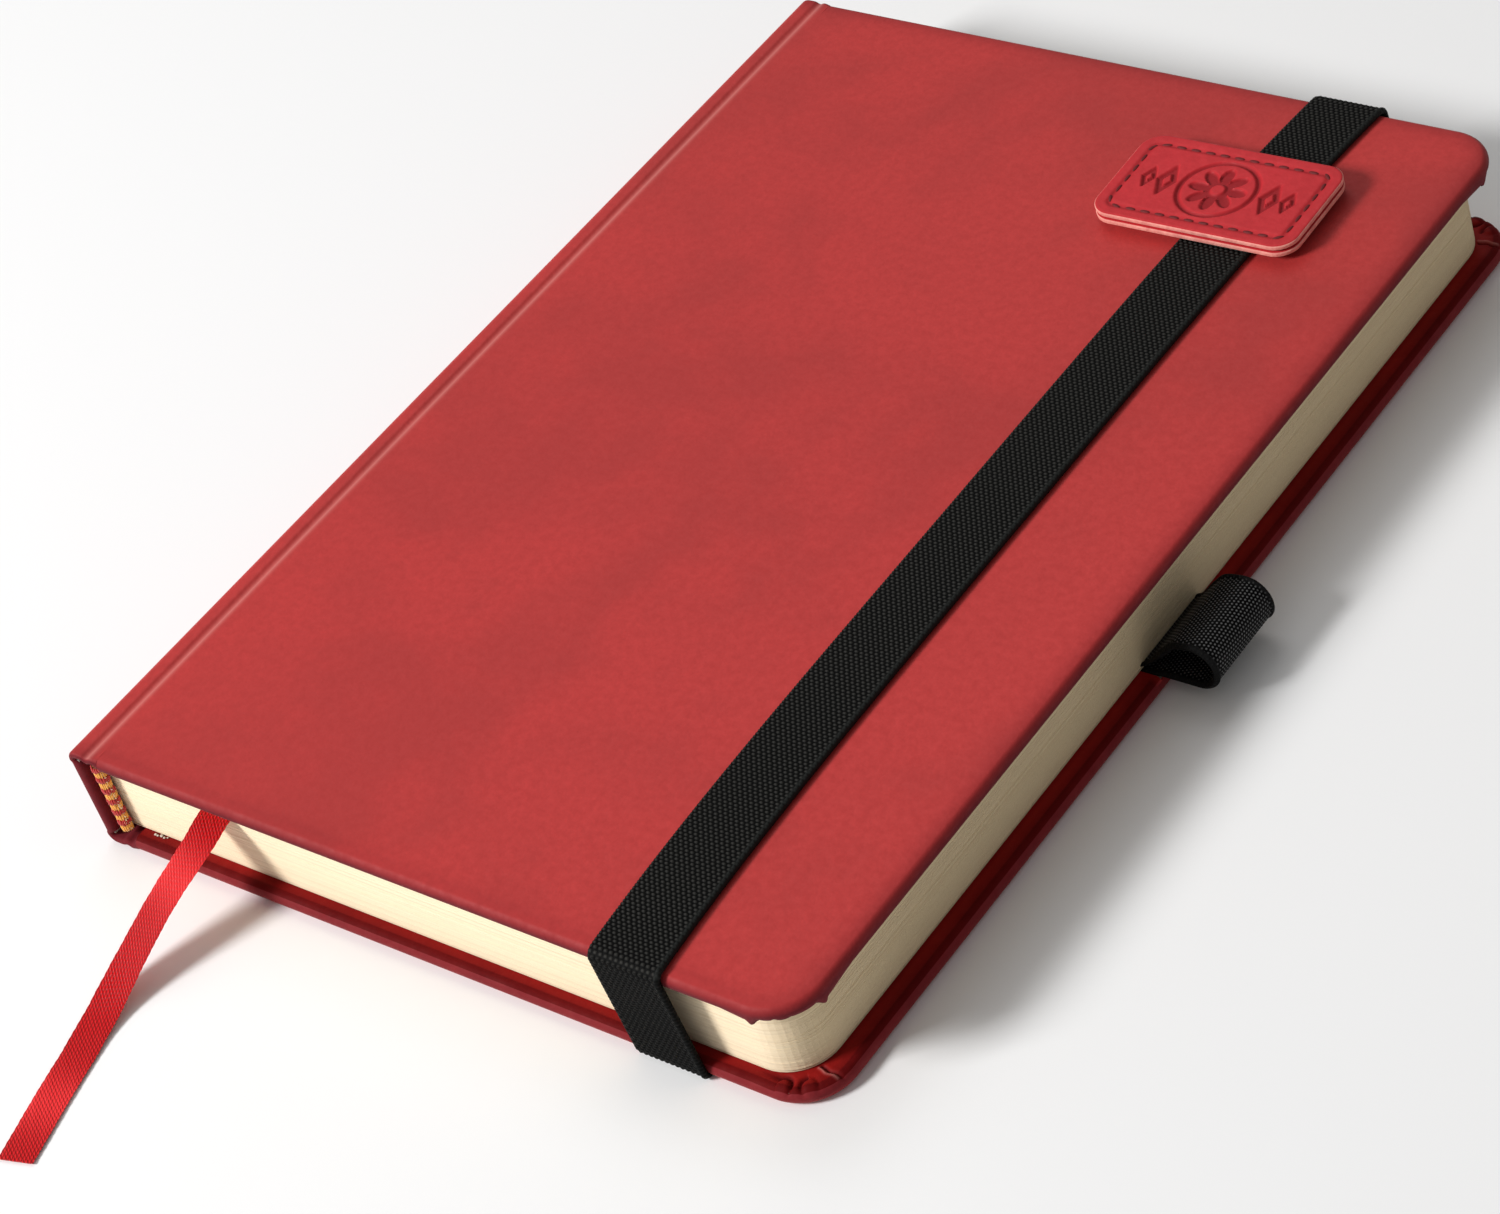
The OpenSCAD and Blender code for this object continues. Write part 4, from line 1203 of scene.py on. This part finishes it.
# %% Relief of the weave
def knots(across, along, weave):
    """Knots in columns, from 0 in the gaps to 1 on top, the same as the finish's own."""
    number = np.floor(across / weave["Column"])
    v = along / weave["Knot"] + weave["Stagger"] * (number % 2)
    u = across / weave["Column"] + weave["Sway"] * (2 * (np.floor(v) % 2) - 1)
    return np.abs(np.sin(np.pi * u) * np.sin(np.pi * v)) ** 0.8


half = elastic_route()
route = np.array(half + [(COVER_L - y, z, -ny, nz) for y, z, ny, nz in half[::-1]])
middles = np.array([elastic_middle(y, z) for y, z, _, _ in route])
run = run_along(route[:, :2]) + np.concatenate([[0], np.cumsum(np.abs(np.diff(middles)) * 0.1)])
print("elastic's route", len(route), "points,", round(run[-1], 1), "mm")

# %% Elastic band
FACE, SELVEDGE, PIPING_W, SCALLOP = 51, 0.45, 0.55, 0.22
inner_half = BAND_W / 2 - SELVEDGE
across = np.linspace(-inner_half, inner_half, FACE)
rings, band_uv, band_piped, band_leg_shade = [], [], [], []
for k, (y, z, ny, nz) in enumerate(route):
    relief = knots(across, np.full(FACE, run[k]), BAND_WEAVE)
    piped = np.clip((across - inner_half + PIPING_W) / 0.2, 0, 1)
    relief = relief * (1 - piped) + piped * 1.25
    outer = BAND_T / 2 - 0.28 + 0.26 * relief
    scallop = SCALLOP * abs(math.sin(math.pi * run[k] / BAND_WEAVE["Knot"])) ** 0.7
    band_piped += [0.0] * 3 + piped.tolist() + [1.0] * 3
    left = [(-inner_half - 0.30 - scallop, 0.26), (-inner_half - 0.42 - scallop, 0.0),
            (-inner_half - 0.25 - scallop, -0.42)]
    right = [(inner_half + 0.25, -0.45), (inner_half + 0.45, 0.0), (inner_half + 0.32, 0.36)]
    section = np.array(left[::-1] + list(zip(across, outer)) + right[::-1])
    # Painted shade on the legs: points below the front cover's top get the darker finish.
    band_leg_shade += [float(z < LEG_TOP_Z)] * len(section)
    x = middles[k] + section[:, 0]
    rings.append(np.column_stack([x, y + ny * section[:, 1], z + nz * section[:, 1]]))
    band_uv += [(a, run[k]) for a in section[:, 0]]
verts, faces = loft(rings)
elastic = piece("elastic_band_woven", verts, faces, elastic_black, uv=band_uv, sharp=80,
                values={"piped": band_piped, "leg_shade": band_leg_shade})
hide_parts("elastic_band", "elastic_anchors")
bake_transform(elastic)
print("elastic", len(faces), "faces")

# %% [markdown]
# ## The leather tag
# Two layers of leather are sewn together over the elastic and pressed with a plain rosette. The
# top is lofted inwards ring by ring from the rounded outline, closely enough for the sewn channel
# and the pressed figure to be real hollows. The cut edges have the paler finish of the leather's
# backing.

# %% Tag measures and pressed figure
TAG_W, TAG_L, TAG_R, TAG_T = 39.0, 22.0, 4.0, 1.1
TAG_X, TAG_Y, TAG_TURN = 110.6, 179.6, math.radians(1.5)
STITCH_INSET, CHANNEL_DEPTH, PRESSED_DEPTH = 2.5, 0.26, 0.40
CUT_ROWS = 4


def on_tag(points):
    """Points of the tag's own plane, turned and moved to their place on the cover."""
    p = np.asarray(points, float)
    c, s = math.cos(TAG_TURN), math.sin(TAG_TURN)
    moved = p.copy()
    moved[:, 0] = TAG_X + c * p[:, 0] - s * p[:, 1]
    moved[:, 1] = TAG_Y + s * p[:, 0] + c * p[:, 1]
    return moved


def soft_step(value, low, high):
    """Rises smoothly from 0 to 1."""
    t = np.clip((value - low) / (high - low), 0, 1)
    return t * t * (3 - 2 * t)


def rosette(x, y):
    """Depth, from 0 to 1, of a pressed rosette with a row of lozenges on each side."""
    r, a = np.hypot(x, y), np.arctan2(y, x)
    petal = 5.6 * (0.40 + 0.60 * np.abs(np.cos(4 * a)) ** 0.8)
    flower = soft_step(petal - r, 0.0, 0.5) * soft_step(r, 1.1, 1.6)
    ring = soft_step(0.55 - np.abs(r - 6.9), 0.0, 0.35)
    row = np.zeros_like(x)
    for centre, half_x, half_y in ((9.9, 2.1, 4.6), (13.4, 1.5, 3.2)):
        lozenge = 1 - np.abs(np.abs(x) - centre) / half_x - np.abs(y) / half_y
        row = np.maximum(row, soft_step(lozenge, 0.0, 0.25) * (1 - soft_step(lozenge, 0.55, 0.7)))
    return np.maximum(np.maximum(flower, ring), row)


# %% Tag layers
def tag_ring(inset):
    """The tag's rounded outline, set in from its edge."""
    return outline(-TAG_W / 2, TAG_W / 2, -TAG_L / 2, TAG_L / 2, TAG_R, TAG_R, inset, inset,
                   side=110, arc=16)


def tag_layer(name, z0, low, high, dressed):
    """One layer of the tag. The upper one is dressed: channelled, pressed and slightly domed."""
    spacing = 0.2 if dressed else 5.0
    insets = [0.0, 0.12, 0.35, *np.arange(0.6, TAG_L / 2 - 0.05, spacing), TAG_L / 2]
    rings, rims = [], []
    for inset, z in ((0.35, low), (0.05, low + 0.12), (0.0, (low + high) / 2)):
        flat = tag_ring(inset)
        rings.append(ring_at(flat, z0 + z))
        rims += [0.0] * len(flat)
    for inset in insets:
        flat = tag_ring(inset)
        if inset == TAG_L / 2:
            flat[:, 1] = 0.0
        z = np.full(len(flat), high - 0.22 * max(0.0, 1 - inset / 0.4) ** 2)
        dark = np.zeros(len(flat))
        if dressed:
            channel = math.exp(-((inset - STITCH_INSET) / 0.45) ** 2)
            pressed = rosette(flat[:, 0], flat[:, 1])
            z = z - CHANNEL_DEPTH * channel - PRESSED_DEPTH * pressed
            # Painted shade: the channel and the pressed figure are painted darker.
            dark = np.clip(0.25 * channel + 0.55 * pressed, 0, 1)
        rings.append(ring_at(flat, z0 + z))
        rims += dark.tolist()
    verts, faces = loft(rings)
    ring_len = len(rings[0])
    made = piece(name, on_tag(verts), faces[:-1], [tag_leather, cut_edge],
                 values={"rim": rims, "tear_and_highlight": [0.0] * len(rims)}, sharp=60)
    for polygon in made.data.polygons:
        if len(polygon.vertices) == 4 and min(polygon.vertices) // ring_len < CUT_ROWS:
            polygon.material_index = 1
    seam = bmesh.new()
    seam.from_mesh(made.data)
    bmesh.ops.remove_doubles(seam, verts=seam.verts, dist=0.002 * MM)
    bmesh.ops.dissolve_degenerate(seam, edges=seam.edges, dist=0.001 * MM)
    bmesh.ops.recalc_face_normals(seam, faces=seam.faces)
    seam.to_mesh(made.data)
    seam.free()
    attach(made, "elastic")
    return made


lower_z, upper_z = box_mm("tag_lower_layer")[0][2], box_mm("tag_upper_layer")[0][2]
lower_tag = tag_layer("tag_lower_leather", lower_z, 0.0, 0.98, False)
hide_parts("tag_lower_layer")
upper_tag = tag_layer("tag_upper_leather", upper_z, 0.16, TAG_T, True)
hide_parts("tag_upper_layer")
print("tag", len(upper_tag.data.polygons), "faces on the pressed layer")

# %% [markdown]
# The stitches repeat along the channel, so a tree cuts the channel's line into equal lengths and
# lays one short rounded stitch on each, turned along the line.

# %% Tree that sews along a line
sewing, sewing_in, sewing_out = new_tree("Sewn line", "GeometryNodeTree", [
    ("Line", "NodeSocketGeometry", None), ("Pitch", "NodeSocketFloat", 0.0029),
    ("Stitch length", "NodeSocketFloat", 0.0019), ("Stitch width", "NodeSocketFloat", 0.00055),
    ("Stitch height", "NodeSocketFloat", 0.0004), ("Thread", "NodeSocketMaterial", None)],
    [("Stitches", "NodeSocketGeometry")])
curve = add(sewing, "GeometryNodeMeshToCurve", {"Mesh": sewing_in.outputs["Line"]})
even = add(sewing, "GeometryNodeResampleCurve", {"Curve": curve.outputs[0]})
even.mode = "LENGTH"
sewing.links.new(sewing_in.outputs["Pitch"], even.inputs["Length"])
aim = add(sewing, "FunctionNodeAlignRotationToVector",
          {"Vector": add(sewing, "GeometryNodeInputTangent").outputs[0]}, axis="X")
stitch = add(sewing, "GeometryNodeMeshIcoSphere", {"Radius": 0.5, "Subdivisions": 3})
size = add(sewing, "ShaderNodeCombineXYZ", {0: sewing_in.outputs["Stitch length"],
                                            1: sewing_in.outputs["Stitch width"],
                                            2: sewing_in.outputs["Stitch height"]})
laid = add(sewing, "GeometryNodeInstanceOnPoints", {
    "Points": even.outputs[0], "Instance": stitch.outputs[0], "Rotation": aim.outputs[0],
    "Scale": size.outputs[0]})
real = add(sewing, "GeometryNodeRealizeInstances", {0: laid.outputs[0]})
soft = add(sewing, "GeometryNodeSetShadeSmooth", {0: real.outputs[0]})
finished = add(sewing, "GeometryNodeSetMaterial", {"Geometry": soft.outputs[0],
                                                   "Material": sewing_in.outputs["Thread"]})
sewing.links.new(finished.outputs[0], sewing_out.inputs[0])
print(sewing.name, "of", len(sewing.nodes), "nodes")

# %% Sew the tag
flat = outline(-TAG_W / 2, TAG_W / 2, -TAG_L / 2, TAG_L / 2, TAG_R, TAG_R, STITCH_INSET,
               STITCH_INSET, side=30, arc=12)
sewn = metres(on_tag(ring_at(flat, upper_z + TAG_T - 0.20)))
line_mesh = bpy.data.meshes.new("tag_stitches")
line_mesh.from_pydata(sewn.tolist(), [(k, (k + 1) % len(sewn)) for k in range(len(sewn))], [])
stitches = bpy.data.objects.new("tag_stitches", line_mesh)
bpy.context.scene.collection.objects.link(stitches)
grow(stitches, sewing, {"Pitch": 2.9 * MM, "Stitch length": 1.9 * MM, "Stitch width": 0.66 * MM,
                        "Stitch height": 0.42 * MM, "Thread": tag_thread})
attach(stitches, "elastic")
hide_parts("tag_stitching")
print("stitches", len(stitches.data.polygons), "faces")

# %% [markdown]
# ## The pen loop
# A short length of wide elastic is folded double and glued under the back endpaper. It springs out
# into a round loop. Its section is a line that leaves the cover, goes round the loop, and comes
# back, and the band is that line made wide, with small knots in staggered columns and a rolled
# piping along both rims.

# %% Loop line
LOOP_X, LOOP_Z, LOOP_R, LOOP_T = 154.4, 6.9, 3.85, 1.05
RIM_W, RIM_RISE, RIB_RISE = 1.4, 0.32, 0.14
loop_points = [(141.0, 2.62), (144.0, 2.68), (146.0, 2.75), (148.6, 3.0), (151.2, 3.05)]
loop_points += [(LOOP_X + LOOP_R * math.sin(math.radians(a)),
                 LOOP_Z - LOOP_R * math.cos(math.radians(a))) for a in range(0, 196, 15)]
loop_points += [(150.9, 10.0), (148.8, 8.0), (146.9, 6.0), (145.3, 4.5), (144.0, 3.75),
                (142.6, 3.4), (141.0, 3.3)]
loop_line, loop_run = smooth_line([(x, 0, z) for x, z in loop_points], 0.22)
tangent = np.gradient(loop_line, axis=0)
tangent /= np.linalg.norm(tangent, axis=1)[:, None]
outwards = np.column_stack([tangent[:, 2], np.zeros(len(tangent)), -tangent[:, 0]])
print("pen loop's line", len(loop_line), "points,", round(loop_run[-1], 1), "mm")

# %% Loop band
ROWS = 100
place = np.linspace(0, LOOP_W, ROWS)
rings, loop_uv, loop_piped = [], [], []
for k in range(len(loop_line)):
    flatten = 0.45 + 0.55 * soft_step(loop_line[k][0], 145.0, 149.0)
    from_rim = np.minimum(place, LOOP_W - place)
    rim_roll = np.exp(-((from_rim - 0.6) / 0.42) ** 4)
    between = np.exp(-((from_rim - 1.25) / 0.25) ** 2)
    rib = knots(np.full(ROWS, loop_run[k]), place, LOOP_WEAVE)
    smooth = np.where(from_rim < RIM_W + 0.1, 1.0, 0.0) * np.clip(1 - between * 0.9, 0, 1)
    loop_piped += smooth.tolist() + smooth[::-1].tolist()
    relief = RIB_RISE * rib * (from_rim > RIM_W) + RIM_RISE * rim_roll - 0.12 * between
    edge = np.sqrt(np.clip(from_rim / 0.55, 0.02, 1))
    outer = (LOOP_T / 2 - 0.20 + relief) * flatten * edge
    inner = (-LOOP_T / 2 + 0.20 - relief) * flatten * edge
    section_y = np.concatenate([place, place[::-1]]) + LOOP_Y0
    depth = np.concatenate([outer, inner[::-1]])
    centre = loop_line[k]
    rings.append(np.column_stack([centre[0] + outwards[k][0] * depth, section_y,
                                  centre[2] + outwards[k][2] * depth]))
    loop_uv += [(loop_run[k], a - LOOP_Y0) for a in section_y]
verts, faces = loft(rings)
pen_loop = piece("pen_loop_woven", verts, faces, loop_black, uv=loop_uv, sharp=80,
                 values={"piped": loop_piped})
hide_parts("pen_loop", "pen_loop_root")
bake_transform(pen_loop)
print("pen loop", len(faces), "faces")

# %% [markdown]
# ## Traces of the bindery
# A few crumbs of dried glue sit on the turned-in margin beside the headband. They are small lumps
# with uneven skins, made from one rounded blob each.

# %% Glue crumbs
work = bmesh.new()
for k, (x, y, size) in enumerate(((9.9, 2.5, 0.26), (10.5, 2.4, 0.20), (11.2, 2.6, 0.30),
                                  (11.9, 2.5, 0.22), (12.5, 2.7, 0.15))):
    made = bmesh.ops.create_icosphere(work, subdivisions=2, radius=size * MM)
    centre = Vector(metres([(x, y, 3.0)])[0])
    for vertex in made["verts"]:
        lump = 1 + 0.28 * math.sin(vertex.co.x * 5200 + k) * math.cos(vertex.co.y * 6100 - k)
        vertex.co = centre + Vector((vertex.co.x * 1.2, vertex.co.y, vertex.co.z * 0.6)) * lump
crumb_mesh = bpy.data.meshes.new("glue_crumbs")
work.to_mesh(crumb_mesh)
work.free()
crumb_mesh.materials.append(dried_glue)
crumb_mesh.shade_smooth()
crumbs = bpy.data.objects.new("glue_crumbs", crumb_mesh)
bpy.context.scene.collection.objects.link(crumbs)
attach(crumbs, "book_block")
print("crumbs", len(crumb_mesh.polygons), "faces")
